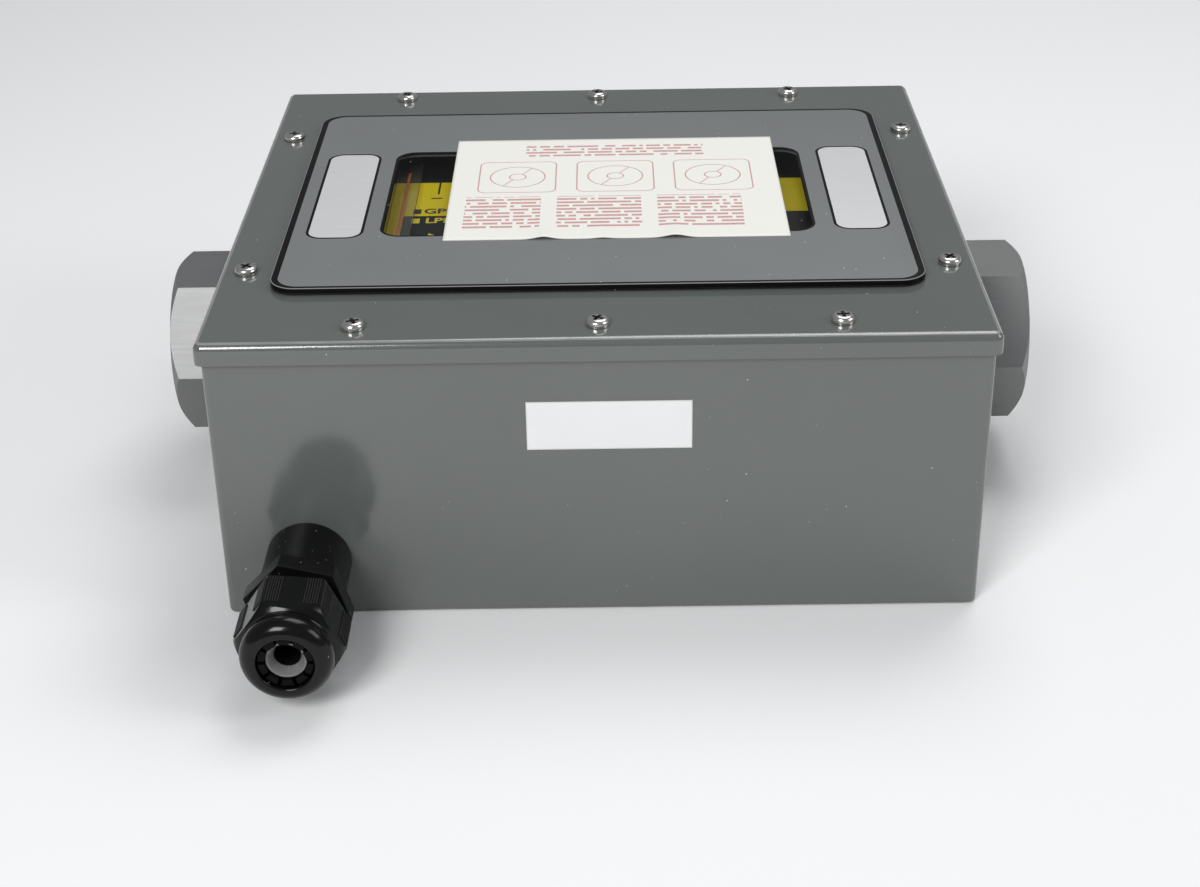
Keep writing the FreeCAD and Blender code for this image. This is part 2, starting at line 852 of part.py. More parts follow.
def make_piston():
    body = new_body("piston")
    bore, wall = "cone_base + orifice_gap", "piston_radius - piston_wall"
    points = [
        (0, bore),
        (0, "piston_radius"),
        ("piston_length", "piston_radius"),
        ("piston_length", wall),
        ("orifice_thick", wall),
        ("orifice_thick", bore),
    ]
    turned(body, outline(sketch(body, "XZ_Plane"), points), "H")
    put(body, "piston_x", 0, "axis_height")
    outer = f"{wall} - magnet_gap"
    magnet = ring(f"{outer} - magnet_wall", outer, "magnet_length", "magnet_x", 0, "axis_height", "x")
    piece(magnet, "piston_magnet")


def make_return_spring():
    """A coil from the piston's magnet to the outlet spider, swept along a helix."""
    helix = doc.addObject("Part::Helix", "helix")
    length = "cone_end - spring_x - 2 * wire_radius"
    bind(helix, Radius="spring_radius", Height=length, Pitch=f"({length}) / spring_turns")
    wire = bind(doc.addObject("Part::RegularPolygon", "wire"), Circumradius="wire_radius")
    wire.Polygon = WIRE_SIDES
    wire.Placement.Rotation = Rotation(Vector(1, 0, 0), 90)
    put(wire, "spring_radius", 0, 0)
    coil = doc.addObject("Part::Sweep", "coil")
    coil.Sections = [wire]
    coil.Spine = (helix, [])
    coil.Solid = True
    coil.Frenet = True
    coil.Placement.Rotation = TURN_TO["x"]
    piece(put(coil, "spring_x + wire_radius", 0, "axis_height"), "return_spring")


# Follower on the outside of the tube


def make_follower_carriage():
    body = new_body("follower_carriage")
    half = "follower_length / 2"
    collar = circle(sketch(body, "YZ_Plane", f"-{half}"), "follower_radius")
    pad(body, circle(collar, "follower_bore"), "follower_length")
    lug = sketch(body, "YZ_Plane", "-lug_width / 2")
    low, high = "rod_rise - lug_height / 2", "rod_rise + lug_height / 2"
    rectangle(lug, "follower_bore + follower_wall / 3", "mast_back", low, high)
    pad(body, circle(lug, "rod_bore", "guide_y", "rod_rise"), "lug_width")
    shelf = "arm_height - axis_height"
    mast = sketch(body, "YZ_Plane", "mast_offset - mast_width / 2")
    inner = "mast_back - mast_thick"
    step = "mast_back - shelf_depth"
    mast_points = [("mast_back", low), ("mast_back", shelf), (step, shelf)]
    mast_points += [(step, f"{shelf} - mast_thick"), (inner, f"{shelf} - 2 * mast_thick"), (inner, low)]
    pad(body, outline(mast, mast_points), "mast_width")
    cam = sketch(body, "XY_Plane", "cam_height - cam_thick / 2")
    ramp = "cam_length / 2 - cam_ramp"
    root, tip = "-follower_radius / 2", "-cam_reach"
    shoulder = f"{tip} + cam_ramp"
    cam_points = [("-cam_length / 2", root), ("-cam_length / 2", shoulder), (f"-({ramp})", tip)]
    cam_points += [(ramp, tip), ("cam_length / 2", shoulder), ("cam_length / 2", root)]
    pad(body, outline(cam, cam_points), "cam_thick")
    recess = circle(sketch(body, "YZ_Plane", half), "tube_radius + 2 * follower_gap + ring_magnet_wall")
    pocket(body, recess, "ring_magnet_length")
    screw_hole = sketch(body, "XY_Plane", shelf)
    circle(screw_hole, "small_shank_radius + fit_gap", "mast_offset", "mast_back - shelf_depth / 2")
    pocket(body, screw_hole, "small_length")
    put(body, "follower_x", 0, "axis_height")


def make_follower_fittings():
    inner = "tube_radius + 2 * follower_gap - fit_gap"
    outer = f"{inner} + ring_magnet_wall"
    start = "follower_x + follower_length / 2 - ring_magnet_length"
    magnet = ring(inner, outer, "ring_magnet_length", start, 0, "axis_height", "x")
    piece(magnet, "follower_magnet")
    body = new_body("indicator_arm")
    arm = sketch(body, "XY_Plane")
    left, right = "mast_offset - mast_width / 2", "mast_offset + mast_width / 2"
    rectangle(arm, left, right, "-arm_front", "mast_back")
    screw_y = "mast_back - shelf_depth / 2"
    pad(body, circle(arm, "small_shank_radius + fit_gap", "mast_offset", screw_y), "arm_thick")
    put(body, "follower_x", 0, "arm_height")
    screw_x = "follower_x + mast_offset"
    arm_screw = screw("small", "small_length", screw_x, screw_y, "arm_height + arm_thick")
    piece(arm_screw, "arm_screw")


# Frame inside the case


def make_bracket(label, side):
    """A bent plate with a foot on the floor and a flange under the scale."""
    body = new_body(label)
    inner, outer = f"{side} * bracket_x", f"{side} * (bracket_x + bracket_thick)"
    toe = f"{side} * (bracket_x + bracket_thick + foot_width)"
    lip = f"{side} * (bracket_x - top_flange)"
    under = "plate_bottom - bracket_thick"
    points = [(inner, "sheet_metal"), (toe, "sheet_metal"), (toe, "foot_top"), (outer, "foot_top")]
    points += [(outer, "plate_bottom"), (lip, "plate_bottom"), (lip, under), (inner, under)]
    profile = outline(sketch(body, "XZ_Plane", "-bracket_back"), points)
    pad(body, profile, "bracket_back + bracket_front")
    holes = sketch(body, "YZ_Plane", f"{side} * (bracket_x - bracket_thick)")
    circle(holes, "tube_radius + hole_gap", 0, "axis_height")
    circle(holes, "rod_radius + hole_gap", "guide_y", "rod_height")
    circle(holes, "rod_radius + hole_gap", "-rail_y", "rod_height")
    pocket(body, holes, "3 * bracket_thick", back=side > 0)
    corner = sketch(body, "YZ_Plane", f"{side} * (bracket_x - bracket_thick - top_flange)")
    shoulder = "rod_height + 4 * rod_radius"
    slope = "scale_front + rod_radius"
    corner_points = [("-bracket_front", shoulder), (f"-({slope})", "plate_bottom")]
    outline(corner, corner_points + [("-bracket_front", "plate_bottom")])
    pocket(body, corner, "foot_width + top_flange + bracket_thick", back=side > 0)
    feet = sketch(body, "XY_Plane", "foot_top")
    screws = sketch(body, "XY_Plane", "plate_bottom")
    for i in (-1, 1):
        circle(feet, "bolt_radius + fit_gap", f"{side} * foot_x", f"{i} * foot_pitch / 2")
    pocket(body, feet, "bracket_thick")
    for y in ("scale_screw_inset - scale_front", "scale_back - scale_screw_inset"):
        circle(screws, "small_shank_radius + fit_gap", f"{side} * scale_screw_x", y)
    pocket(body, screws, "bracket_thick")


def make_frame_fasteners():
    corners = [(f"{i} * foot_x", f"{j} * foot_pitch / 2") for i in (-1, 1) for j in (-1, 1)]
    studs = [cylinder("bolt_radius", "stud_height", x, y, "sheet_metal") for x, y in corners]
    group("floor_studs", studs)
    nuts = []
    for x, y in corners:
        prism = put(doc.addObject("Part::Prism", "prism"), x, y, "foot_top")
        bind(prism, Circumradius="bolt_nut", Height="bolt_nut_height")
        bore = cylinder("bolt_radius + fit_gap", "bolt_nut_height", x, y, "foot_top")
        nuts.append(cut(prism, bore))
    group("floor_nuts", nuts)
    half = "bracket_x + bracket_thick + clip_thick + rod_end"
    for label, y in (("guide_rod", "guide_y"), ("setpoint_rail", "-rail_y")):
        rod = cylinder("rod_radius", f"2 * ({half})", f"-({half})", y, "rod_height", "x")
        piece(rod, label)
    clips = []
    for y in ("guide_y", "-rail_y"):
        for start in ("bracket_x + bracket_thick", "-(bracket_x + bracket_thick + clip_thick)"):
            clip = ("rod_radius + fit_gap", "rod_radius + clip_wall", "clip_thick")
            clips.append(ring(*clip, start, y, "rod_height", "x"))
    group("rod_clips", clips)


def make_scale_plate():
    body = new_body("scale_plate")
    profile = sketch(body, "XY_Plane", "plate_bottom")
    rectangle(profile, "-scale_half", "scale_half", "-scale_front", "scale_back")
    spots = []
    for x in ("-scale_screw_x", "scale_screw_x"):
        for y in ("scale_screw_inset - scale_front", "scale_back - scale_screw_inset"):
            circle(profile, "small_shank_radius + fit_gap", x, y)
            spots.append((x, y))
    pad(body, profile, "scale_thick")
    group("scale_screws", [screw("small", "small_length", x, y, "scale_height") for x, y in spots])


# Set-point carriage with the snap switch


def make_setpoint_carriage():
    body = new_body("setpoint_carriage")
    saddle = sketch(body, "YZ_Plane", "-carriage_length / 2")
    back = "carriage_depth / 2 - rail_y"
    rectangle(saddle, "-carriage_front", back, "carriage_bottom", "carriage_top")
    circle(saddle, "rod_bore", "-rail_y", "rod_height")
    pad(body, saddle, "carriage_length")
    clamp_hole = sketch(body, "XY_Plane", "carriage_top")
    circle(clamp_hole, "thumb_shank + thumb_gap", "thumb_x", "-rail_y")
    pocket(body, clamp_hole, "carriage_height / 2")
    screw_holes = sketch(body, "XY_Plane", "carriage_top")
    for i in (-1, 1):
        circle(screw_holes, "small_shank_radius + fit_gap", f"{i} * switch_pitch / 2", "-switch_hole_y")
    pocket(body, screw_holes, "small_length")
    put(body, "setpoint_x")


def make_set_pointer():
    """A bent strip from the carriage's front, up and over the scale."""
    body = new_body("set_pointer")
    profile = sketch(body, "YZ_Plane", "pointer_x - pointer_width / 2")
    inner, outer = "-carriage_front", "-(carriage_front + pointer_thick)"
    top = "pointer_height + pointer_thick"
    foot, tip = "carriage_top - pointer_foot", "-pointer_tip"
    points = [(inner, foot), (inner, "pointer_height"), (tip, "pointer_height")]
    points += [(tip, top), (outer, top), (outer, foot)]
    pad(body, outline(profile, points), "pointer_width")
    taper = sketch(body, "XY_Plane", top)
    left, right = "pointer_x - pointer_width / 2", "pointer_x + pointer_width / 2"
    start = "-(pointer_tip + 2 * pointer_width)"
    for edge in (left, right):
        point = f"({edge} + 2 * pointer_x) / 3"
        outline(taper, [(edge, start), (edge, tip), (point, tip)])
    pocket(body, taper, "pointer_thick")
    put(body, "setpoint_x")


def make_thumb_screw():
    body = new_body("thumb_screw")
    grip = circle(sketch(body, "XY_Plane", "thumb_bottom"), "thumb_radius")
    pad(body, grip, "thumb_height")
    shank = circle(sketch(body, "XY_Plane", "thumb_bottom"), "thumb_shank")
    pad(body, shank, "thumb_bottom - rod_height - rod_radius - thumb_gap", back=True)
    scallop = sketch(body, "XY_Plane", "thumb_bottom + thumb_height")
    circle(scallop, "thumb_radius / 8", "thumb_radius")
    around(body, pocket(body, scallop, "thumb_height"), "N", THUMB_SCALLOPS)
    put(body, "setpoint_x + thumb_x", "-rail_y")


def make_snap_switch():
    body = new_body("switch_body")
    case = sketch(body, "XY_Plane", "carriage_top")
    half = "switch_length / 2"
    rectangle(case, f"-{half}", half, "-switch_back", "-switch_y")
    for i in (-1, 1):
        circle(case, "small_shank_radius + fit_gap", f"{i} * switch_pitch / 2", "-switch_hole_y")
    pad(body, case, "switch_height")
    eye = "(pivot_radius + pivot_gap + eye_wall)"
    ear_levels = ("lever_z - lever_clear - ear_thick", "lever_z + lever_height + lever_clear")
    for level in ear_levels:
        ear = sketch(body, "XY_Plane", level)
        sides = (f"pivot_x - {eye}", f"pivot_x + {eye}")
        rectangle(ear, *sides, "-switch_y - eye_wall", f"-pivot_y + {eye}")
        pad(body, circle(ear, "pivot_radius", "pivot_x", "-pivot_y"), "ear_thick")
    bore = sketch(body, "XZ_Plane", "switch_y")
    circle(bore, "plunger_radius + plunger_gap", "plunger_x", "lever_z + lever_height / 2")
    pocket(body, bore, "2 * plunger_depth", back=True)
    put(body, "setpoint_x")
    pin_length = "lever_height + 2 * (ear_thick + lever_clear)"
    pivot = cylinder("pivot_radius", pin_length, "setpoint_x + pivot_x", "-pivot_y", ear_levels[0])
    piece(pivot, "lever_pin")
    blades = []
    for i in (-1, 0, 1):
        corner = (f"setpoint_x + {i} * blade_pitch - blade_width / 2", "-switch_back - blade_length")
        level = "carriage_top + switch_height / 2"
        blades.append(block("blade_width", "blade_length", "blade_thick", *corner, level))
    group("switch_blades", blades)
    spots = [(f"setpoint_x + {i} * switch_pitch / 2", "-switch_hole_y") for i in (-1, 1)]
    length = "switch_height + small_length - fit_gap"
    group("switch_screws", [screw("small", length, x, y, "switch_top") for x, y in spots])
    reach = "plunger_depth + switch_y - plunger_tip"
    start = "-(switch_y + plunger_depth)"
    height = "lever_z + lever_height / 2"
    plunger = cylinder("plunger_radius", reach, "setpoint_x + plunger_x", start, height, "y")
    piece(plunger, "switch_plunger")


def make_switch_lever():
    """A rolled strip on the pivot pin with a forked end that holds the roller."""
    body = new_body("switch_lever")
    bore = "pivot_radius + pivot_gap"
    eye = sketch(body, "XY_Plane", "lever_z")
    circle(circle(eye, f"{bore} + eye_wall", "pivot_x", "-pivot_y"), bore, "pivot_x", "-pivot_y")
    pad(body, eye, "lever_height")
    strip = sketch(body, "XY_Plane", "lever_z")
    outer = "-lever_face + lever_thick"
    rectangle(strip, "roller_x - fork_length / 2", "pivot_x", "-lever_face", outer)
    pad(body, strip, "lever_height")
    for level in ("lever_z", "lever_z + lever_height - fork_thick"):
        ear = sketch(body, "XY_Plane", level)
        left, right = "roller_x - fork_length / 2", "roller_x + fork_length / 2"
        rectangle(ear, left, right, "-lever_face", "roller_y + roller_radius / 2")
        pad(body, circle(ear, "pivot_radius", "roller_x", "roller_y"), "fork_thick")
    put(body, "setpoint_x")
    gap = "fork_thick + roller_gap"
    roller_z = f"lever_z + {gap}"
    width = f"lever_height - 2 * ({gap})"
    spot = ("setpoint_x + roller_x", "roller_y")
    piece(ring("pivot_radius + pivot_gap", "roller_radius", width, *spot, roller_z), "lever_roller")
    piece(cylinder("pivot_radius", "lever_height", *spot, "lever_z"), "roller_pin")


def make_terminal_strip():
    body = new_body("terminal_strip")
    pitches = [f"strip_x + {i - STRIP_WAYS / 2} * strip_pitch" for i in range(STRIP_WAYS + 1)]
    low, high = "strip_y - strip_depth / 2", "strip_y + strip_depth / 2"
    base = sketch(body, "XY_Plane", "sheet_metal")
    rectangle(base, f"{pitches[0]} - rib_thick / 2", f"{pitches[-1]} + rib_thick / 2", low, high)
    pad(body, base, "strip_base")
    ribs = sketch(body, "XY_Plane", "sheet_metal")
    for x in pitches:
        rectangle(ribs, f"{x} - rib_thick / 2", f"{x} + rib_thick / 2", low, high)
    pad(body, ribs, "strip_rib")
    rows = ["strip_y - strip_depth / 4", "strip_y + strip_depth / 4"]
    spots = [(f"{x} + strip_pitch / 2", y) for x in pitches[:-1] for y in rows]
    holes = sketch(body, "XY_Plane", "sheet_metal + strip_base")
    for x, y in spots:
        circle(holes, "small_shank_radius + fit_gap", x, y)
    pocket(body, holes, "small_length")
    top = "sheet_metal + strip_base"
    group("terminal_screws", [screw("small", "small_length - fit_gap", x, y, top) for x, y in spots])


# Cable gland, turned about the Y axis through the front wall


def gland_piece(label, points, turn=0):
    """A body turned from (radius, distance out of the wall) points, placed on the gland's axis."""
    body = new_body(label)
    profile = outline(sketch(body, "XY_Plane"), [(r, f"-({out})") for r, out in points])
    turned(body, profile, "V")
    body.Placement.Rotation = Rotation(Vector(0, 1, 0), turn)
    put(body, "gland_x", "front_y", "gland_z")
    return body


def make_gland():
    tail = "-hub_tail"
    hub_points = [("hub_bore", tail), ("hub_thread", tail), ("hub_thread", 0), ("hub_outer", 0)]
    gland_piece("gland_hub", hub_points + [("hub_outer", "hub_length"), ("hub_bore", "hub_length")])
    bore = "hub_thread + fit_gap"
    wall, edge = "-sheet_metal", "locknut_radius"
    washer_end = "-(sheet_metal + washer_thick)"
    nut_end = "-(sheet_metal + washer_thick + locknut_thick)"
    gland_piece("hub_washer", [(bore, wall), (bore, washer_end), (edge, washer_end), (edge, wall)])
    nut = [(bore, washer_end), (bore, nut_end), (edge, nut_end), (edge, washer_end)]
    locknut = gland_piece("hub_locknut", nut)
    notch = sketch(locknut, "XZ_Plane", washer_end)
    low, high = "locknut_radius - washer_thick", "locknut_radius + washer_thick"
    rectangle(notch, low, high, "-washer_thick", "washer_thick")
    around(locknut, pocket(locknut, notch, "locknut_thick"), "N", LOCKNUT_NOTCHES)
    body_points = [
        ("gland_bore", "hex_start - hub_tail"),
        ("hub_bore - fit_gap", "hex_start - hub_tail"),
        ("hub_bore - fit_gap", "hex_start"),
        ("gland_barrel", "hex_start"),
        ("gland_barrel", "barrel_end"),
        ("gland_bore", "barrel_end"),
    ]
    gland = gland_piece("gland_body", body_points, value("gland_turn"))
    flange = circle(sketch(gland, "XZ_Plane", "hex_start"), "gland_barrel - fit_gap")
    pad(gland, hexagon(flange, "gland_flats"), "gland_flange")


def make_gland_nut():
    """The dome nut: hexagon with corners turned off, a dome that meets its end face smoothly, and a bore that
    narrows to the mouth."""
    body = new_body("gland_nut")
    pad(body, hexagon(sketch(body, "XZ_Plane", "dome_start"), "gland_flats"), "dome_hex")
    flat, corner = "gland_flats / 2", "gland_flats / sqrt(3)"
    shoulder, end = "-dome_shoulder", "-dome_end"
    section = [("dome_neck", shoulder), (0, shoulder), (0, end), ("dome_crown", end)]
    turned(body, outline(sketch(body, "XY_Plane"), section, "dome_radius"), "V")
    chamfer = [(flat, shoulder), (corner, shoulder), (corner, "nut_chamfer - dome_shoulder")]
    turned(body, outline(sketch(body, "XY_Plane"), chamfer), "V", "Groove")
    start, narrow = "-dome_start", "dome_length / 2 - dome_shoulder"
    bore = [(0, start), ("dome_bore", start), ("dome_bore", narrow)]
    bore += [("dome_mouth", "dome_rim - dome_end"), ("dome_mouth", end), (0, end)]
    turned(body, outline(sketch(body, "XY_Plane"), bore), "V", "Groove")
    body.Placement.Rotation = Rotation(Vector(0, 1, 0), value("dome_turn"))
    put(body, "gland_x", "front_y", "gland_z")


def make_gland_insert():
    claw_points = [
        ("claw_bore", "barrel_end"),
        ("dome_bore - claw_flange / 2", "barrel_end"),
        ("dome_bore - claw_flange / 2", "barrel_end + claw_flange"),
        ("claw_radius", "barrel_end + claw_flange"),
        ("claw_radius", "claw_end"),
        ("claw_bore", "claw_end"),
    ]
    claw = gland_piece("gland_claw", claw_points)
    slot = sketch(claw, "XZ_Plane", "claw_end")
    rectangle(slot, "claw_bore - claw_wall", "claw_radius + claw_wall", "-claw_slot / 2", "claw_slot / 2")
    around(claw, pocket(claw, slot, "claw_end - barrel_end - claw_flange"), "N", CLAW_SLOTS)
    end = "claw_end - seal_inset"
    seal_points = [
        ("cable_radius", "barrel_start"),
        ("seal_radius", "barrel_start"),
        ("seal_radius", end),
        ("seal_radius - seal_lip", end),
        ("cable_radius", f"{end} - seal_funnel"),
    ]
    gland_piece("gland_seal", seal_points)


make_case_floor()
make_case_walls()
make_case_flange()
make_lid()
make_lid_gasket()
make_lid_fasteners()
make_window()
make_labels()
make_flow_tube()
make_port("inlet_port", 180)
make_port("outlet_port", 0)
make_port_rings()
make_grommet("inlet_grommet", 180)
make_grommet("outlet_grommet", 0)
make_spider("inlet_spider", -1)
make_spider("outlet_spider", 1)
make_metering_cone()
make_piston()
make_return_spring()
make_follower_carriage()
make_follower_fittings()
make_bracket("inlet_bracket", -1)
make_bracket("outlet_bracket", 1)
make_frame_fasteners()
make_scale_plate()
make_setpoint_carriage()
make_set_pointer()
make_thumb_screw()
make_snap_switch()
make_switch_lever()
make_terminal_strip()
make_gland()
make_gland_nut()
make_gland_insert()
doc.recompute()

for thing in doc.Objects:
    if {"Invalid", "Error"} & set(thing.State):
        raise RuntimeError(f"{thing.Label} failed: {thing.State}")
for thing in pieces:
    if thing.Shape.isNull() or not thing.Shape.isValid():
        raise RuntimeError(f"{thing.Label} has no valid shape")

os.makedirs("parts", exist_ok=True)
for thing in pieces:
    thing.Shape.exportStep(os.path.join("parts", thing.Label + ".step"))
    box = thing.Shape.BoundBox
    low = f"{box.XMin:.1f} {box.YMin:.1f} {box.ZMin:.1f}"
    high = f"{box.XMax:.1f} {box.YMax:.1f} {box.ZMax:.1f}"
    print(f"{thing.Label}: from {low} to {high} mm, {len(thing.Shape.Solids)} solids")
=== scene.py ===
# %% [markdown]
# # A variable area flow switch
# Liquid runs through a tube in the grey case and pushes a piston, and a pointer behind the window follows
# it. The hard parts come from the CAD frame at their true size. This lesson gives each of them its finish,
# and models what a CAD solid leaves plain: screw heads, the dial's print, the curled card and the ribbed
# cable gland.

import math

import bmesh
import bpy
from mathutils import Matrix, Vector


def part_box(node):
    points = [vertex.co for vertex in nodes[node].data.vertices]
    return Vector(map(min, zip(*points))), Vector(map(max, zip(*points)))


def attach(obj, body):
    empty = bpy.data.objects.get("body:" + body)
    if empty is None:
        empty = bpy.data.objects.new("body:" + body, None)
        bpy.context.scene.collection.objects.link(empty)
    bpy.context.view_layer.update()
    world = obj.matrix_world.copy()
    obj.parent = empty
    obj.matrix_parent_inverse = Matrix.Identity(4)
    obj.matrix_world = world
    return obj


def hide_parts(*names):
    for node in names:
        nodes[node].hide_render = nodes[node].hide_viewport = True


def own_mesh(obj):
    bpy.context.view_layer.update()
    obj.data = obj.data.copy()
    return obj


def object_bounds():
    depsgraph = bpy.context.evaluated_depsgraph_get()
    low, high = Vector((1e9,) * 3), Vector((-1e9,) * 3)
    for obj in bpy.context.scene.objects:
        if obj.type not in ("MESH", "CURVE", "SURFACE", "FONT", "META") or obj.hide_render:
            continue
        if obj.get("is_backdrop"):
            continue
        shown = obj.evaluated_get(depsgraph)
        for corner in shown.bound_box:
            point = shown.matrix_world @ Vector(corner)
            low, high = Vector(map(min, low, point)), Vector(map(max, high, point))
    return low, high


MM = 0.001
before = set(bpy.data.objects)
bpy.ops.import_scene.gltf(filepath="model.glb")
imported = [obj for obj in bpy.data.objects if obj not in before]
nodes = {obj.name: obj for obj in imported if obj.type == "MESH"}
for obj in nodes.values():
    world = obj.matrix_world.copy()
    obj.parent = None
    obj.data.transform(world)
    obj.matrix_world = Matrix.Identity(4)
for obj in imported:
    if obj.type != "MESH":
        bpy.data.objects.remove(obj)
cad_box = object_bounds()
scene = bpy.context.scene
print("CAD nodes:", len(nodes))

# %% [markdown]
# The camera was solved from the edges of the lid and the case: it looks down at 29 degrees from the front,
# with a slight roll. Its three axes are written as a matrix, which is safer than three angles in an unknown
# order. Angles are in radians, places in metres and the lens in millimetres.

# %% Camera
AZIMUTH, ELEVATION, ROLL = 0.0067, 0.5031, -0.0170
DISTANCE = 0.790913
TARGET = Vector((-0.000646, 0.0, -0.001062))
LENS, SENSOR = 61.54, 36.0

outward = math.cos(ELEVATION)
back = Vector((math.sin(AZIMUTH) * outward, -math.cos(AZIMUTH) * outward, math.sin(ELEVATION)))
level = Vector((math.cos(AZIMUTH), math.sin(AZIMUTH), 0.0))
upward = back.cross(level)
right = math.cos(ROLL) * level + math.sin(ROLL) * upward
above = math.cos(ROLL) * upward - math.sin(ROLL) * level

lens = bpy.data.cameras.new("camera")
lens.lens = LENS
lens.sensor_width = SENSOR
camera = bpy.data.objects.new("camera", lens)
facing = Matrix((right, above, back)).transposed().to_4x4()
camera.matrix_world = Matrix.Translation(TARGET + DISTANCE * back) @ facing
scene.collection.objects.link(camera)
scene.camera = camera
print("camera at", [round(c, 3) for c in camera.location])

# %% [markdown]
# Shader maths reads best as formulas. A Wire stands for one output of a node, and Python's operators on it
# add Math nodes, so that `1 - mask` or `abs(x) < 5 * MM` can be written as it is.


# %% Shader formulas
class Wire:
    """One output of a shader node."""

    def __init__(self, finish, socket):
        self.finish = finish
        self.socket = socket

    def math(self, operation, first, second=0.0):
        return self.finish.node("Math", {"operation": operation}, {0: first, 1: second})

    def __add__(self, other):
        return self.math("ADD", self, other)

    def __sub__(self, other):
        return self.math("SUBTRACT", self, other)

    def __rsub__(self, other):
        return self.math("SUBTRACT", other, self)

    def __mul__(self, other):
        return self.math("MULTIPLY", self, other)

    def __truediv__(self, other):
        return self.math("DIVIDE", self, other)

    def __pow__(self, other):
        return self.math("POWER", self, other)

    def __lt__(self, other):
        return self.math("LESS_THAN", self, other)

    def __gt__(self, other):
        return self.math("GREATER_THAN", self, other)

    def __abs__(self):
        return self.math("ABSOLUTE", self)

    def __round__(self):
        return self.math("ROUND", self)

    def __floor__(self):
        return self.math("FLOOR", self)

    def high(self, other):
        """The larger of two values."""
        return self.math("MAXIMUM", self, other)

    def low(self, other):
        """The smaller of two values."""
        return self.math("MINIMUM", self, other)

    __radd__ = __add__
    __rmul__ = __mul__


def distance(across, along):
    """The length of a diagonal, from its two sides as wires."""
    return (across * across + along * along) ** 0.5


print("a wire knows", ", ".join(name.strip("_") for name in vars(Wire) if callable(getattr(Wire, name))))

# %% [markdown]
# A Finish is one material: its `node` method makes any node from a type, its settings and its inputs, and
# the rest are the few patterns that most surfaces share. Colours are written as display greys with a tint,
# because that is how they are read off a screen.

# %% Finishes
EVEN = (1.0, 1.0, 1.0)


class Finish:
    """One material and the nodes that make it."""

    def __init__(self, name):
        self.material = bpy.data.materials.new(name)
        self.material.use_nodes = True
        self.tree = self.material.node_tree
        self.tree.nodes.clear()
        self.place = self.node("TexCoord", {}, {}, "Object")
        self.x, self.y, self.z = (self.node("SeparateXYZ", {}, {0: self.place}, axis) for axis in "XYZ")

    def node(self, kind, settings, inputs, output=0):
        """Add a node, set it up, feed its inputs with values or wires, and return one of its outputs."""
        made = self.tree.nodes.new("ShaderNode" + kind)
        for name, value in settings.items():
            setattr(made, name, value)
        for name, value in inputs.items():
            if isinstance(value, Wire):
                self.tree.links.new(value.socket, made.inputs[name])
            else:
                made.inputs[name].default_value = value
        return Wire(self, made.outputs[output]) if made.outputs else made

    def noise(self, scale, detail=2.0, stretch=EVEN):
        """Cloudy noise from 0 to 1, with about `scale` features in a metre."""
        spot = self.node("Mapping", {}, {"Vector": self.place, "Scale": stretch})
        return self.node("TexNoise", {}, {"Vector": spot, "Scale": scale, "Detail": detail}, "Fac")

    def specks(self, scale, radius, share):
        """Small round spots: one to a cell, of which a share is kept."""
        cell = {"Vector": self.place, "Scale": scale}
        near = self.node("TexVoronoi", {}, cell, "Distance") < radius * scale
        chance = self.node("SeparateColor", {}, {0: self.node("TexVoronoi", {}, cell, "Color")}, "Red")
        return near * (chance < share)

    def blend(self, first, second, share):
        """Mix two colours."""
        return self.node("Mix", {"data_type": "RGBA"}, {0: share, 6: first, 7: second}, 2)

    def bump(self, height, depth):
        """Relief: height runs from 0 to 1 and stands for depth metres."""
        return self.node("Bump", {}, {"Height": height, "Distance": depth, "Strength": 1.0})

    def principled(self, **sockets):
        """A Principled shader, its sockets named as in base_color."""
        named = {name.replace("_", " ").title().replace("Ior", "IOR"): sockets[name] for name in sockets}
        return self.node("BsdfPrincipled", {}, named)

    def done(self, shader):
        self.node("OutputMaterial", {}, {"Surface": shader})
        return self.material


def grey(level, tint=EVEN):
    """A linear colour from a display level of 0 to 255 and a tint."""
    linear = ((level / 255 + 0.055) / 1.055) ** 2.4
    return (*(linear * t for t in tint), 1.0)


print("a display grey of 108 is", round(grey(108)[0], 3))

# %% [markdown]
# The floor is plain and pale and is no part of the object. A wide soft lamp above and behind gives the lid
# its sheen, a stronger one in front lights the front wall and a weak one the right side. The world fills
# the rest, at a level that shows colours as written.

# %% Floor and light
FLOOR_SIZE = 6.0
FLOOR_DROP = 0.2 * MM
ROOM_COLOUR, ROOM_STRENGTH = (0.93, 0.96, 1.0, 1.0), 0.26


def to_mesh(work, name):
    """Turn a bmesh into a mesh."""
    mesh = bpy.data.meshes.new(name)
    work.to_mesh(mesh)
    work.free()
    return mesh


def make_floor():
    finish = Finish("floor")
    tone = finish.blend(grey(246), grey(250), finish.noise(3.0))
    work = bmesh.new()
    shift = Matrix.Translation((0.0, 0.0, -FLOOR_DROP))
    bmesh.ops.create_grid(work, x_segments=1, y_segments=1, size=FLOOR_SIZE / 2, matrix=shift)
    mesh = to_mesh(work, "floor")
    mesh.materials.append(finish.done(finish.principled(base_color=tone, roughness=0.8)))
    floor = bpy.data.objects.new("floor", mesh)
    scene.collection.objects.link(floor)
    floor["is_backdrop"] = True


def make_lamp(name, spot, aim, size, power):
    """A square soft lamp that points from its spot to its aim."""
    light = bpy.data.lights.new(name, "AREA")
    light.size = size
    light.energy = power
    lamp = bpy.data.objects.new(name, light)
    lamp.location = spot
    lamp.rotation_euler = (Vector(aim) - Vector(spot)).to_track_quat("-Z", "Y").to_euler()
    scene.collection.objects.link(lamp)


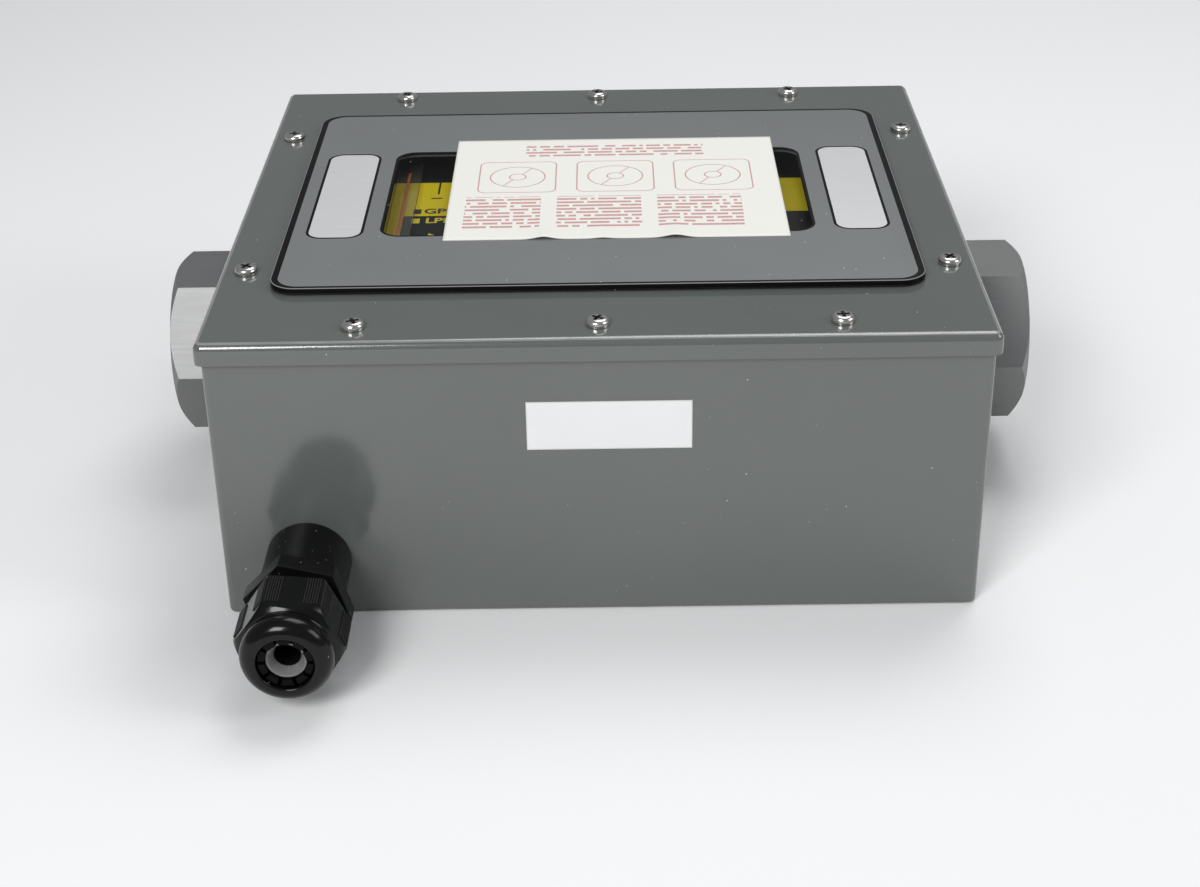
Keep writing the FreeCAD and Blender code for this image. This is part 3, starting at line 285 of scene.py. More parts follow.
make_floor()
make_lamp("lamp_above", spot=(0.25, 0.5, 1.3), aim=(0.0, 0.0, 0.1), size=0.8, power=7.5)
make_lamp("lamp_front", spot=(-0.6, -1.3, 1.1), aim=(0.0, 0.0, 0.05), size=0.6, power=16.0)
make_lamp("lamp_side", spot=(1.4, -0.4, 0.9), aim=(0.0, 0.0, 0.05), size=0.7, power=6.0)

world = bpy.data.worlds.new("room")
world.use_nodes = True
room = world.node_tree.nodes["Background"]
room.inputs["Color"].default_value = ROOM_COLOUR
room.inputs["Strength"].default_value = ROOM_STRENGTH
scene.world = world
scene.view_settings.view_transform = "Standard"
print("lamps:", [o.name for o in scene.objects if o.type == "LIGHT"])

# %% [markdown]
# The case and lid wear a glossy baked paint that mirrors the gland and the screws: a mid grey with a faint
# green cast, a fine orange peel and a little dust. A flat colour would look like plastic, so the tone, the
# gloss and the relief each get noise at their own scale. The lid's folded edges are painted paler in
# patches, partly as edge wear and partly as a painted highlight along the bend, and their normals tell them
# from flat sheet.

# %% Case paint
PAINT_DARK, PAINT_LIGHT = grey(94, (0.91, 1.0, 0.93)), grey(102, (0.91, 1.0, 0.94))
PALE = grey(200)
FOLD_LOW, FOLD_HIGH = 0.8, 0.95


def upward_part(finish):
    """How far a face points up or down, from 0 to 1."""
    return abs(finish.node("SeparateXYZ", {}, {0: finish.node("NewGeometry", {}, {}, "Normal")}, "Z"))


def make_case_paint():
    finish = Finish("case_paint")
    tone = finish.blend(PAINT_DARK, PAINT_LIGHT, finish.noise(14.0, 3.0))
    upward = upward_part(finish)
    # Painted highlight, partly edge wear: faces on the folded edges are mixed towards pale in patches.
    fold_wear_and_highlight = (upward > FOLD_LOW) * (upward < FOLD_HIGH)
    tone = finish.blend(tone, PALE, fold_wear_and_highlight * (0.1 + 0.4 * finish.noise(70.0, 3.0)))
    dust = finish.specks(150.0, 0.24 * MM, 0.3).high(finish.specks(260.0, 0.11 * MM, 0.3))
    tone = finish.blend(tone, PALE, dust * 0.8)
    roughness = 0.09 + 0.07 * finish.noise(40.0, 3.0) + 0.4 * dust
    peel = finish.bump(finish.noise(700.0), 0.012 * MM)
    shader = finish.principled(base_color=tone, roughness=roughness, normal=peel, specular_ior_level=0.95)
    return finish.done(shader)


def dress(material, *names):
    """Give CAD nodes their finish."""
    for name in names:
        mesh = nodes[name].data
        mesh.materials.clear()
        mesh.materials.append(material)
    print(material.name, "on", ", ".join(names))


dress(make_case_paint(), "case_floor", "front_wall", "rear_wall", "side_walls", "case_flange", "lid")

# %% [markdown]
# Clear sheet this thin needs no real refraction: a Fresnel mix of see-through and gloss looks the same and
# stays quick to render. Only outer faces shine, as rays inside would be turned back. The arm is a little
# hazy with age and its sawn edges are dark, so faces that don't point up or down are told apart by their
# normal.

# %% Clear plastic
EDGE_LIMIT = 0.5


def sheet_edge(finish):
    """A mask of the faces that don't point up or down: the edges of a flat sheet."""
    return upward_part(finish) < EDGE_LIMIT


def clear_pane(finish, roughness, tint, gloss_share):
    """A see-through shader with some gloss on its outer faces."""
    see = finish.node("BsdfTransparent", {}, {"Color": tint})
    gloss = finish.node("BsdfAnisotropic", {}, {"Color": grey(250), "Roughness": roughness})
    front = 1 - finish.node("NewGeometry", {}, {}, "Backfacing")
    shine = finish.node("Fresnel", {}, {"IOR": 1.5}) * front * gloss_share
    return finish.node("MixShader", {}, {0: shine, 1: see, 2: gloss})


def make_clear_arm():
    finish = Finish("clear_arm")
    pane = clear_pane(finish, 0.08, grey(246, (1.0, 0.99, 0.94)), 0.7)
    edge = sheet_edge(finish)
    cloud = finish.noise(60.0, 3.0)
    tone = finish.blend(grey(176, (1.0, 0.96, 0.86)), grey(196, (1.0, 0.96, 0.86)), cloud)
    tone = finish.blend(tone, grey(74, (1.0, 0.86, 0.5)), edge)
    frosted = finish.principled(base_color=tone, roughness=0.45)
    haze = edge.high(0.02 + 0.03 * cloud)
    return finish.done(finish.node("MixShader", {}, {0: haze, 1: pane, 2: frosted}))


dress(make_clear_arm(), "indicator_arm")

# %% [markdown]
# The panel on the lid is a clear sheet printed on its front: grey, with a black border, a black line round
# the clear window and two silver plates with black outlines, and a painted highlight along its bevelled rim.
# A rounded rectangle is one short formula for the distance to its edge, so each printed line is a band of
# that distance and stays crisp at any scale.

# %% Printed panel
OUTLINE = 1.0 * MM
SIDE_BORDER, END_BORDER = 2.5 * MM, 1.7 * MM
PLATE_CORNER, WINDOW_CORNER, PANEL_CORNER = 6.0 * MM, 6.5 * MM, 9.0 * MM
PANEL_BEVEL = 0.35 * MM
WINDOW_HALF = (74.5 * MM, 39.6 * MM)
LEFT_PLATE = ((-101.0 * MM, -41.4 * MM), (-81.0 * MM, 39.4 * MM))
RIGHT_PLATE = ((81.8 * MM, -39.7 * MM), (101.3 * MM, 40.7 * MM))
PANEL_TINT = (0.96, 1.0, 1.01)
CENTRE = (0.0, 0.0)


def rounded_edge(finish, middle, half, corner):
    """Distance to the edge of a rounded rectangle, below zero inside it."""
    over_x = abs(finish.x - middle[0]) - (half[0] - corner)
    over_y = abs(finish.y - middle[1]) - (half[1] - corner)
    outside = distance(over_x.high(0.0), over_y.high(0.0))
    return outside + over_x.high(over_y).low(0.0) - corner


def panel_ink(finish, half, window):
    """Masks of the panel's black lines and of its silver plates."""
    inner = (half.x - SIDE_BORDER, half.y - END_BORDER)
    border = rounded_edge(finish, CENTRE, inner, PANEL_CORNER - END_BORDER) > 0.0
    ink = border.high(window < OUTLINE)
    silver = 0.0
    for near, far in (LEFT_PLATE, RIGHT_PLATE):
        middle = [(a + b) / 2 for a, b in zip(near, far)]
        plate = rounded_edge(finish, middle, [(b - a) / 2 for a, b in zip(near, far)], PLATE_CORNER)
        ink = ink.high(plate < 0.0)
        silver = (plate < -OUTLINE) + silver
    return ink, silver


def make_panel_print():
    finish = Finish("panel_print")
    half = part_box("window_panel")[1]
    window = rounded_edge(finish, CENTRE, WINDOW_HALF, WINDOW_CORNER)
    ink, silver = panel_ink(finish, half, window)
    sawn = sheet_edge(finish)
    # Painted highlight: a pale line along the bevel of the sheet's top edge.
    rim = (rounded_edge(finish, CENTRE, (half.x, half.y), PANEL_CORNER) > -PANEL_BEVEL) * (1 - sawn)
    dust = finish.specks(200.0, 0.28 * MM, 0.3)
    field = finish.blend(grey(120, PANEL_TINT), grey(127, PANEL_TINT), finish.noise(20.0, 3.0))
    brushed = finish.noise(120.0, 3.0, (1.0, 14.0, 1.0))
    tone = finish.blend(field, grey(8), ink.high(sawn))
    tone = finish.blend(tone, finish.blend(grey(204), grey(216), brushed), silver)
    tone = finish.blend(tone, grey(140), rim)
    tone = finish.blend(tone, grey(196), dust * 0.9)
    shown = finish.principled(
        base_color=tone,
        metallic=0.15 * silver,
        roughness=0.42 + 0.12 * finish.noise(50.0, 3.0),
        specular_ior_level=0.15,
    )
    pane = clear_pane(finish, 0.14, grey(252), 0.2)
    clear = (window < 0.0) * (1 - sawn) * (1 - 0.5 * dust)
    return finish.done(finish.node("MixShader", {}, {0: clear, 1: shown, 2: pane}))


panel_print = make_panel_print()
dress(panel_print, "face_overlay")

# %% [markdown]
# The dial behind the window is painted metal: a yellow band above a black one, with a row of marks in each.
# Marks repeat, so one formula folds the whole row onto a single mark. Numbers come later as flat letters.

# %% Dial
BAND_TOP, BAND_LOW = 31.8 * MM, -0.6 * MM
COLUMN = -70.5 * MM
ROW_LOW = -34.5 * MM
MARK_START, MARK_PITCH, MARK_COUNT = -59.2 * MM, 12.0 * MM, 11
MARK_END = MARK_START + (MARK_COUNT - 1) * MARK_PITCH
MARK_LONG, MARK_SHORT = 11.5 * MM, 5.5 * MM
MARK_WIDTH = 0.7 * MM
SHORT_PITCH, SHORT_WIDTH = MARK_PITCH / 2, 0.7 * MARK_WIDTH


def mark_row(finish, pitch, width):
    """A mask of upright marks at a pitch, from the first mark to the last."""
    along = (finish.x - MARK_START) / pitch
    off = abs(along - round(along)) * pitch
    within = (finish.x > MARK_START - width) * (finish.x < MARK_END + width)
    return (off < width / 2) * within


def long_and_short(finish, height):
    """Both kinds of mark in one row, by the height above the line that they stand on."""
    long_marks = mark_row(finish, MARK_PITCH, MARK_WIDTH) * (height < MARK_LONG)
    short_marks = mark_row(finish, SHORT_PITCH, SHORT_WIDTH) * (height < MARK_SHORT)
    return long_marks.high(short_marks)


def make_dial():
    finish = Finish("dial")
    band = (finish.y < BAND_TOP) * (finish.y > BAND_LOW)
    below = (finish.y > ROW_LOW) * (finish.y < BAND_LOW)
    yellow = band.high((finish.x < COLUMN) * (finish.y < BAND_TOP))
    marks_above = long_and_short(finish, BAND_TOP - finish.y) * band
    marks_below = long_and_short(finish, finish.y - ROW_LOW) * below
    cloud = finish.noise(30.0, 3.0)
    paint = finish.blend(grey(198, (1.0, 0.8, 0.002)), grey(206, (1.0, 0.83, 0.003)), cloud)
    black = finish.blend(grey(16), grey(24), cloud)
    tone = finish.blend(black, paint, yellow * (1 - marks_above) + marks_below)
    roughness = 0.38 + 0.15 * finish.noise(60.0)
    return finish.done(finish.principled(base_color=tone, roughness=roughness, specular_ior_level=0.25))


dress(make_dial(), "scale_plate")

# %% [markdown]
# Metals differ in how they were made. Plating has a soft grain, turned parts carry fine rings from the
# tool, milled ports have long faint marks on a satin face and ferrite is a dull grey ceramic. Each gets its
# own colour, its own spread of roughness and a little relief.

# %% Metals
NICKEL_TONES = grey(198, (1.0, 0.98, 0.93)), grey(226, (1.0, 0.98, 0.94))
BRASS_TONES = grey(190, (1.0, 0.76, 0.36)), grey(222, (1.0, 0.8, 0.42))
RINGS, LONG_MARKS = (1.0, 0.02, 0.02), (0.05, 1.0, 1.0)


def make_metal(name, dark, light, roughness, spread, grain, stretch=EVEN, depth=0.01 * MM, metallic=1.0):
    """A metal of two tones, with grain lines that also vary its roughness and stand a depth proud."""
    finish = Finish(name)
    cloud = finish.noise(35.0, 3.0)
    lines = finish.noise(grain, 3.0, stretch)
    shader = finish.principled(
        base_color=finish.blend(dark, light, cloud * 0.6 + lines * 0.4),
        metallic=metallic,
        roughness=roughness + spread * lines,
        normal=finish.bump(lines, depth),
    )
    return finish.done(shader)


nickel = make_metal("nickel", *NICKEL_TONES, 0.16, 0.14, 500.0)
zinc = make_metal("zinc", grey(168), grey(205, (1.0, 1.0, 0.97)), 0.30, 0.22, 160.0, depth=0.02 * MM)
turned = make_metal("turned_aluminium", grey(150), grey(174), 0.44, 0.2, 900.0, RINGS)
milled = make_metal("milled_aluminium", grey(132), grey(156), 0.47, 0.1, 1200.0, LONG_MARKS, 0.005 * MM)
brass = make_metal("brass", *BRASS_TONES, 0.24, 0.2, 400.0)
ferrite = make_metal("ferrite", grey(52), grey(70), 0.6, 0.2, 600.0, depth=0.04 * MM, metallic=0.2)
# Painted shade: darker metal for the faces of the screws' recesses.
painted_shade = make_metal("recess_painted_shade", grey(60), grey(84), 0.5, 0.2, 400.0)
spring_steel = make_metal("spring_steel", grey(150), grey(186), 0.25, 0.15, 300.0)

dress(zinc, "weld_nuts", "inlet_bracket", "outlet_bracket", "floor_studs", "floor_nuts", "guide_rod")
dress(zinc, "setpoint_rail", "rod_clips", "scale_screws", "arm_screw", "switch_screws", "hub_locknut")
dress(zinc, "lever_pin", "roller_pin", "switch_lever")
dress(turned, "flow_tube", "inlet_spider", "outlet_spider", "metering_cone", "piston")
dress(milled, "inlet_port", "outlet_port")
dress(brass, "thumb_screw", "switch_blades", "terminal_screws")
dress(ferrite, "piston_magnet", "follower_magnet")

# %% [markdown]
# The mouldings are black nylon and acetal, a dark phenolic switch, red parts and rubber. Plastics show their
# finish in the highlight, so the relief and the roughness matter more than the colour.

# %% Plastics and rubber
PHENOLIC_TONES = grey(48, (1.0, 0.9, 0.84)), grey(62, (1.0, 0.92, 0.86))
ENAMEL_TONES = grey(176, (1.0, 0.12, 0.06)), grey(196, (1.0, 0.14, 0.08))


def make_plastic(name, dark, light, roughness, spread, grain, depth, dusty=0.0, shine=0.5):
    """A moulding of two tones, with a fine relief that also varies its roughness, and dust if asked for."""
    finish = Finish(name)
    fine = finish.noise(grain)
    tone = finish.blend(dark, light, finish.noise(30.0, 3.0))
    if dusty:
        dust = finish.specks(420.0, 0.24 * MM, dusty)
        tone = finish.blend(tone, grey(170), dust * 0.7)
    shader = finish.principled(
        base_color=tone,
        roughness=roughness + spread * fine,
        normal=finish.bump(fine, depth),
        specular_ior_level=shine,
    )
    return finish.done(shader)


nylon = make_plastic("black_nylon", grey(8), grey(16), 0.3, 0.2, 800.0, 0.02 * MM, 0.5, shine=0.2)
gloss_nylon = make_plastic("gloss_nylon", grey(8), grey(12), 0.12, 0.1, 300.0, 0.004 * MM, 0.06, shine=0.28)
# Painted highlight: the ribs are a paler nylon than the nut.
rib_highlight_nylon = make_plastic("rib_highlight_nylon", grey(34), grey(50), 0.3, 0.2, 500.0, 0.01 * MM, shine=0.3)
# Painted shade: a darker, duller copy of the nylon for the claw inside the nut's mouth.
claw_shaded_nylon = make_plastic("claw_shaded_nylon", grey(6), grey(10), 0.45, 0.2, 600.0, 0.02 * MM, shine=0.1)
acetal = make_plastic("black_acetal", grey(30), grey(40), 0.34, 0.16, 600.0, 0.02 * MM)
phenolic = make_plastic("phenolic", *PHENOLIC_TONES, 0.36, 0.2, 500.0, 0.02 * MM)
red_enamel = make_plastic("red_enamel", *ENAMEL_TONES, 0.22, 0.12, 300.0, 0.003 * MM)
rubber = make_plastic("black_rubber", grey(24), grey(34), 0.6, 0.2, 900.0, 0.05 * MM)

dress(nylon, "gland_hub", "gland_body", "lever_roller")
dress(gloss_nylon, "gland_nut")
dress(claw_shaded_nylon, "gland_claw")
dress(acetal, "follower_carriage", "setpoint_carriage")
dress(phenolic, "switch_body", "terminal_strip")
dress(red_enamel, "set_pointer", "switch_plunger")
dress(rubber, "lid_gasket", "window_seal", "port_o_rings", "inlet_grommet", "outlet_grommet", "hub_washer")

# %% [markdown]
# The label on the front wall is bare white tape. Tape is a little yellow at its cut edge and has a faint
# sheen, so the finish is told how far each point lies from that edge.

# %% Front label
LABEL_RIM = 0.35 * MM


def middle_of(node):
    """The middle of a CAD node's box."""
    low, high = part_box(node)
    return (low + high) / 2


def make_label_tape():
    finish = Finish("label_tape")
    middle = middle_of("blank_label")
    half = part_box("blank_label")[1] - middle
    inset = (half.x - abs(finish.x - middle.x)).low(half.z - abs(finish.z - middle.z))
    tone = finish.blend(grey(236), grey(243), finish.noise(60.0, 3.0))
    tone = finish.blend(tone, grey(205, (1.0, 0.99, 0.95)), (inset < LABEL_RIM) * 0.6)
    return finish.done(finish.principled(base_color=tone, roughness=0.35 + 0.1 * finish.noise(200.0)))


dress(make_label_tape(), "blank_label")

# %% [markdown]
# New pieces share a few steps: a bmesh becomes a mesh with smooth shading that breaks at hard edges, and the
# object stays at the origin, rides a CAD body and hides the CAD nodes that it stands for.

# %% Helpers for new pieces
NEAR = 1e-6


def place(name, work, material, body, slot, *replaced, break_angle=35.0):
    """Make a piece of a bmesh, sharp where its faces turn by an angle, and tie it to its CAD body."""
    mesh = to_mesh(work, name)
    mesh.shade_smooth()
    mesh.set_sharp_from_angle(angle=math.radians(break_angle))
    mesh.materials.append(material)
    item = bpy.data.objects.new(name, mesh)
    scene.collection.objects.link(item)
    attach(item, body)
    if replaced:
        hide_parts(*replaced)
    print(name, "faces:", len(mesh.polygons))
    return item


def flatten_shading(item):
    """Let large faces rule the smooth shading, so that the flat beside a bevel doesn't look curved."""
    weighted = item.modifiers.new("flat_faces", "WEIGHTED_NORMAL")
    weighted.mode = "FACE_AREA"
    weighted.weight = 100
    weighted.keep_sharp = True


def hard_edges(work, angle):
    """Edges whose two faces meet at more than an angle in degrees."""
    return [e for e in work.edges if e.is_manifold and e.calc_face_angle() > math.radians(angle)]


def round_edges(work, edges, width, segments=2, **limits):
    """Bevel edges to a small round; limits are more options of the operator."""
    bmesh.ops.bevel(
        work, geom=edges, offset=width, affect="EDGES", segments=segments, profile=0.5, material=-1, **limits
    )


def turn_profile(work, points, steps, closed=True):
    """Spin (radius, height) points about Z into a shell of revolution."""
    verts = [work.verts.new((r, 0.0, h)) for r, h in points]
    edges = [work.edges.new(pair) for pair in zip(verts, verts[1:])]
    if closed:
        edges.append(work.edges.new((verts[-1], verts[0])))
    bmesh.ops.spin(
        work, geom=verts + edges, axis=(0, 0, 1), cent=(0, 0, 0), angle=math.tau, steps=steps, use_merge=True
    )
    bmesh.ops.remove_doubles(work, verts=work.verts, dist=NEAR)
    bmesh.ops.recalc_face_normals(work, faces=work.faces)


def arc(middle, radii, start, end, steps):
    """Points on an elliptic arc, as (radius, height) pairs; angles in degrees."""
    turns = [math.radians(start + (end - start) * i / steps) for i in range(steps + 1)]
    return [(middle[0] + radii[0] * math.cos(a), middle[1] + radii[1] * math.sin(a)) for a in turns]


print("an arc in 4 steps has", len(arc((0.0, 0.0), (1.0, 1.0), 0.0, 90.0, 4)), "points")

# %% [markdown]
# The clear panel is cut again as one clean sheet. Its outline is four corner arcs, extruded to the sheet's
# thickness, and a narrow bevel along the top edge catches the light as a routed edge does. A hair of air
# below keeps it from lying in the very plane of the print.

# %% Panel sheet
PANEL_GAP = 0.03 * MM
CORNER_STEPS = 12


def make_panel_sheet():
    low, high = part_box("window_panel")
    inner = Vector((high.x - PANEL_CORNER, high.y - PANEL_CORNER))
    outline = []
    for turn, (side_x, side_y) in enumerate(((1, 1), (-1, 1), (-1, -1), (1, -1))):
        middle = (side_x * inner.x, side_y * inner.y)
        start = 90.0 * turn
        outline += arc(middle, (PANEL_CORNER, PANEL_CORNER), start, start + 90.0, CORNER_STEPS)
    work = bmesh.new()
    base = work.faces.new([work.verts.new((x, y, low.z + PANEL_GAP)) for x, y in outline])
    raised = bmesh.ops.extrude_face_region(work, geom=[base], use_keep_orig=True)["geom"]
    top = [v for v in raised if isinstance(v, bmesh.types.BMVert)]
    bmesh.ops.translate(work, vec=(0.0, 0.0, high.z - low.z - PANEL_GAP), verts=top)
    rim = [e for e in work.edges if all(v in top for v in e.verts)]
    round_edges(work, rim, PANEL_BEVEL, segments=3)
    bmesh.ops.recalc_face_normals(work, faces=work.faces)
    place("panel_sheet", work, panel_print, "lid", "clear_panel", "window_panel", break_angle=50.0)


make_panel_sheet()

# %% [markdown]
# Ten pan-head screws hold the lid. One screw is turned from a section, threads included. A section is a
# short list of points, and the head's dome is an arc in it.

# %% Screw section
HEAD_RADIUS, HEAD_HEIGHT, HEAD_RIM = 3.9 * MM, 2.5 * MM, 0.9 * MM
HEAD_CHAMFER, HEAD_ROUND = 0.2 * MM, 1.6 * MM
SHANK_RADIUS, THREAD_DEPTH, THREAD_PITCH = 1.95 * MM, 0.3 * MM, 0.8 * MM


def screw_profile(length):
    """Half section of a screw with its head's underside at height 0."""
    root = SHANK_RADIUS - THREAD_DEPTH
    points = [(0.0, -length), (root, -length)]
    for i in range(int((length - THREAD_PITCH) / THREAD_PITCH)):
        low = -length + (i + 0.25) * THREAD_PITCH
        points += [(SHANK_RADIUS, low), (root, low + THREAD_PITCH / 2)]
    points += [(root, 0.0), (HEAD_RADIUS - HEAD_CHAMFER, 0.0), (HEAD_RADIUS, HEAD_CHAMFER)]
    points += arc((HEAD_RADIUS - HEAD_ROUND, HEAD_RIM), (HEAD_ROUND, HEAD_HEIGHT - HEAD_RIM), 0.0, 80.0, 6)
    return points + [(0.0, HEAD_HEIGHT)]


lid_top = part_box("lid")[1].z
screw_length = lid_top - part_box("lid_screws")[0].z
print("screw section:", len(screw_profile(screw_length)), "points")

# %% [markdown]
# A boolean with two crossed wedges cuts the recess, whose faces get a darker finish as painted shade. The
# finished screw is then copied to each place, turned as a hand would leave it.

# %% Lid screws
RECESS_SPAN, RECESS_WIDTH, RECESS_DEPTH = 5.8 * MM, 1.4 * MM, 1.6 * MM
RECESS_FOOT = (0.45, 0.7, 1.0)
RECESS_SKIN = 0.1 * MM
ROW_PITCH, ROW_Y = 77.4 * MM, 107.3 * MM
SIDE_X, SIDE_Y = 117.6 * MM, 63.3 * MM
FIRST_TURN, SCREW_TURN = 20.0, 37.0
SCREW_STEPS = 40


def make_recess():
    """A cross of two wedges that narrow downwards, as an object for a boolean."""
    work = bmesh.new()
    for turn in (0.0, 90.0):
        wedge = bmesh.ops.create_cube(work, size=1.0)["verts"]
        bmesh.ops.scale(work, vec=(RECESS_SPAN, RECESS_WIDTH, 2 * RECESS_DEPTH), verts=wedge)
        bmesh.ops.scale(work, vec=RECESS_FOOT, verts=[v for v in wedge if v.co.z < 0])
        bmesh.ops.rotate(work, matrix=Matrix.Rotation(math.radians(turn), 3, "Z"), verts=wedge)
        bmesh.ops.translate(work, vec=(0, 0, HEAD_HEIGHT), verts=wedge)
    return bpy.data.objects.new("recess", to_mesh(work, "recess"))


def cut_away(mesh, cutter):
    """The mesh less a cutter, through a boolean modifier on a helper object."""
    helper = bpy.data.objects.new("helper", mesh)
    scene.collection.objects.link(helper)
    scene.collection.objects.link(cutter)
    modifier = helper.modifiers.new("cut", "BOOLEAN")
    modifier.operation = "DIFFERENCE"
    modifier.solver = "EXACT"
    modifier.use_self = True
    modifier.object = cutter
    graph = bpy.context.evaluated_depsgraph_get()
    result = bpy.data.meshes.new_from_object(helper.evaluated_get(graph))
    bpy.data.objects.remove(helper)
    bpy.data.objects.remove(cutter)
    return result


def make_one_screw():
    """A screw with its recess, whose faces take the second material."""
    work = bmesh.new()
    turn_profile(work, screw_profile(screw_length), SCREW_STEPS, closed=False)
    screw = cut_away(to_mesh(work, "screw"), make_recess())
    for face in screw.polygons:
        inside = face.center.to_2d().length < RECESS_SPAN / 2
        face.material_index = int(inside and 0.0 < face.center.z < HEAD_HEIGHT - RECESS_SKIN)
    return screw


def make_lid_screws():
    screw = make_one_screw()
    spots = [(i * ROW_PITCH, j * ROW_Y) for j in (-1, 1) for i in (-1, 0, 1)]
    spots += [(i * SIDE_X, j * SIDE_Y) for i in (-1, 1) for j in (-1, 1)]
    work = bmesh.new()
    for count, (x, y) in enumerate(spots):
        before = len(work.verts)
        work.from_mesh(screw)
        work.verts.ensure_lookup_table()
        added = work.verts[before:]
        turn = Matrix.Rotation(math.radians(FIRST_TURN + SCREW_TURN * count), 3, "Z")
        bmesh.ops.rotate(work, matrix=turn, verts=added)
        bmesh.ops.translate(work, vec=(x, y, lid_top), verts=added)
    screws = place("pan_head_screws", work, nickel, "lid", "bright_screws", "lid_screws", break_angle=30.0)
    screws.data.materials.append(painted_shade)


make_lid_screws()

# %% [markdown]
# The card on the panel is stiff paper, 119 by 96 mm. Its red print is made up for this model: three sketched
# dials, and rows of short broken bars. It is a set of masks, as on the panel, so the sheet can bend freely.

# %% Card print
FIGURE_COLUMNS, FIGURE_ROW = (0.2, 0.5, 0.8), 0.6
FIGURE_HALF, FIGURE_CORNER = (14.0 * MM, 15.0 * MM), 3.0 * MM
RING_OUTER, RING_INNER, HAND_SLOPE = 10.0 * MM, 3.0 * MM, 0.6
LINE_WIDTH = 0.5 * MM
BAR_CELL, BAR_PITCH, BAR_HALF, BAR_GAPS = 1.3 * MM, 3.1 * MM, 0.26, 0.2
CARD_MARGIN = 6.0 * MM
COLUMN_SHARE, COLUMN_HALF = 0.3, 0.42
NOTES_LOW, NOTES_HIGH = 0.09, 0.4
HEADING_LOW, HEADING_HIGH, HEADING_SIDE = 0.81, 0.94, 0.22


def card_figures(finish, low, span):
    """Three plain outlined boxes, each with a dial sketched as two rings and a hand."""
    ink = 0.0
    for share in FIGURE_COLUMNS:
        middle = (low.x + share * span.x, low.y + FIGURE_ROW * span.y)
        away_x, away_y = finish.x - middle[0], finish.y - middle[1]
        away = distance(away_x, away_y)
        box = rounded_edge(finish, middle, FIGURE_HALF, FIGURE_CORNER)
        nearest = abs(box).low(abs(away - RING_OUTER)).low(abs(away - RING_INNER))
        between = (away < RING_OUTER) * (away > RING_INNER)
        hand = (abs(away_x - HAND_SLOPE * away_y) < LINE_WIDTH / 2) * between
        ink = (nearest < LINE_WIDTH / 2).high(hand) + ink
    return ink


def card_lines(finish, low, span):
    """Short broken bars in rows: a heading above the boxes, and columns of notes below them."""
    up = (finish.y - low.y) / BAR_PITCH
    row = math.floor(up)
    cell = math.floor((finish.x - low.x) / BAR_CELL)
    spot = finish.node("CombineXYZ", {}, {0: cell, 1: row})
    chance = finish.node("TexWhiteNoise", {}, {"Vector": spot}, "Value")
    bar = (abs(up - row - 0.5) < BAR_HALF) * (chance > BAR_GAPS)
    share_x, share_y = (finish.x - low.x) / span.x, (finish.y - low.y) / span.y
    margin = CARD_MARGIN / span.x
    beside = (share_x > margin) * (share_x < 1 - margin)
    column = share_x / COLUMN_SHARE
    within = (abs(column - math.floor(column) - 0.5) < COLUMN_HALF) * (column < len(FIGURE_COLUMNS))
    notes = (share_y > NOTES_LOW) * (share_y < NOTES_HIGH) * within
    central = (share_x > HEADING_SIDE) * (share_x < 1 - HEADING_SIDE)
    heading = (share_y > HEADING_LOW) * (share_y < HEADING_HIGH) * central
    return bar * beside * notes.high(heading)


def make_card_paper():
    finish = Finish("card_paper")
    low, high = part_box("blank_card")
    span = high - low
    fibre = finish.noise(500.0, 4.0, (1.0, 3.0, 1.0))
    tone = finish.blend(grey(238, (1.0, 0.985, 0.92)), grey(244, (1.0, 0.99, 0.93)), fibre)
    ink = card_figures(finish, low, span).high(card_lines(finish, low, span))
    tone = finish.blend(tone, grey(186, (1.0, 0.24, 0.26)), ink * (0.5 + 0.4 * fibre))
    relief = finish.bump(fibre, 0.02 * MM)
    return finish.done(finish.principled(base_color=tone, roughness=0.75, normal=relief))


card_paper = make_card_paper()
print("card nodes:", len(card_paper.node_tree.nodes))

# %% [markdown]
# Paper that has been damp dries with a wavy edge. A fine grid is lifted by a few smooth bumps that fade away
# from the card's near edge, and Solidify gives it thickness.

# %% Card
CARD_CELLS = (119, 64)
CARD_THICK, CARD_GAP = 0.35 * MM, 0.03 * MM
# share along the near edge, height, half width and reach into the card
CURLS = (
    (0.29, 1.0 * MM, 4.0 * MM, 9.0 * MM),
    (0.46, 0.4 * MM, 3.2 * MM, 6.0 * MM),
    (0.67, 1.1 * MM, 4.6 * MM, 10.0 * MM),
)


def make_card():
    low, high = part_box("blank_card")
    span, middle = high - low, middle_of("blank_card")
    work = bmesh.new()
    bmesh.ops.create_grid(work, x_segments=CARD_CELLS[0], y_segments=CARD_CELLS[1], size=0.5)
    bmesh.ops.scale(work, vec=(span.x, span.y, 1.0), verts=work.verts)
    bmesh.ops.translate(work, vec=(middle.x, middle.y, low.z + CARD_GAP), verts=work.verts)
    for vert in work.verts:
        inward = vert.co.y - low.y
        for share, height, width, reach in CURLS:
            across = (vert.co.x - (low.x + share * span.x)) / width
            vert.co.z += height * math.exp(-across * across - inward / reach)
    bmesh.ops.recalc_face_normals(work, faces=work.faces)
    card = place("paper_card", work, card_paper, "lid", "paper", "blank_card")
    wall = card.modifiers.new("thickness", "SOLIDIFY")
    wall.thickness = CARD_THICK
    wall.offset = 1.0


make_card()

# %% [markdown]
# Numbers and unit words on the dial are flat letters, a hair above the paint. Text is turned to a mesh first
# and moved into place as vertices, so that the object itself stays at the origin.

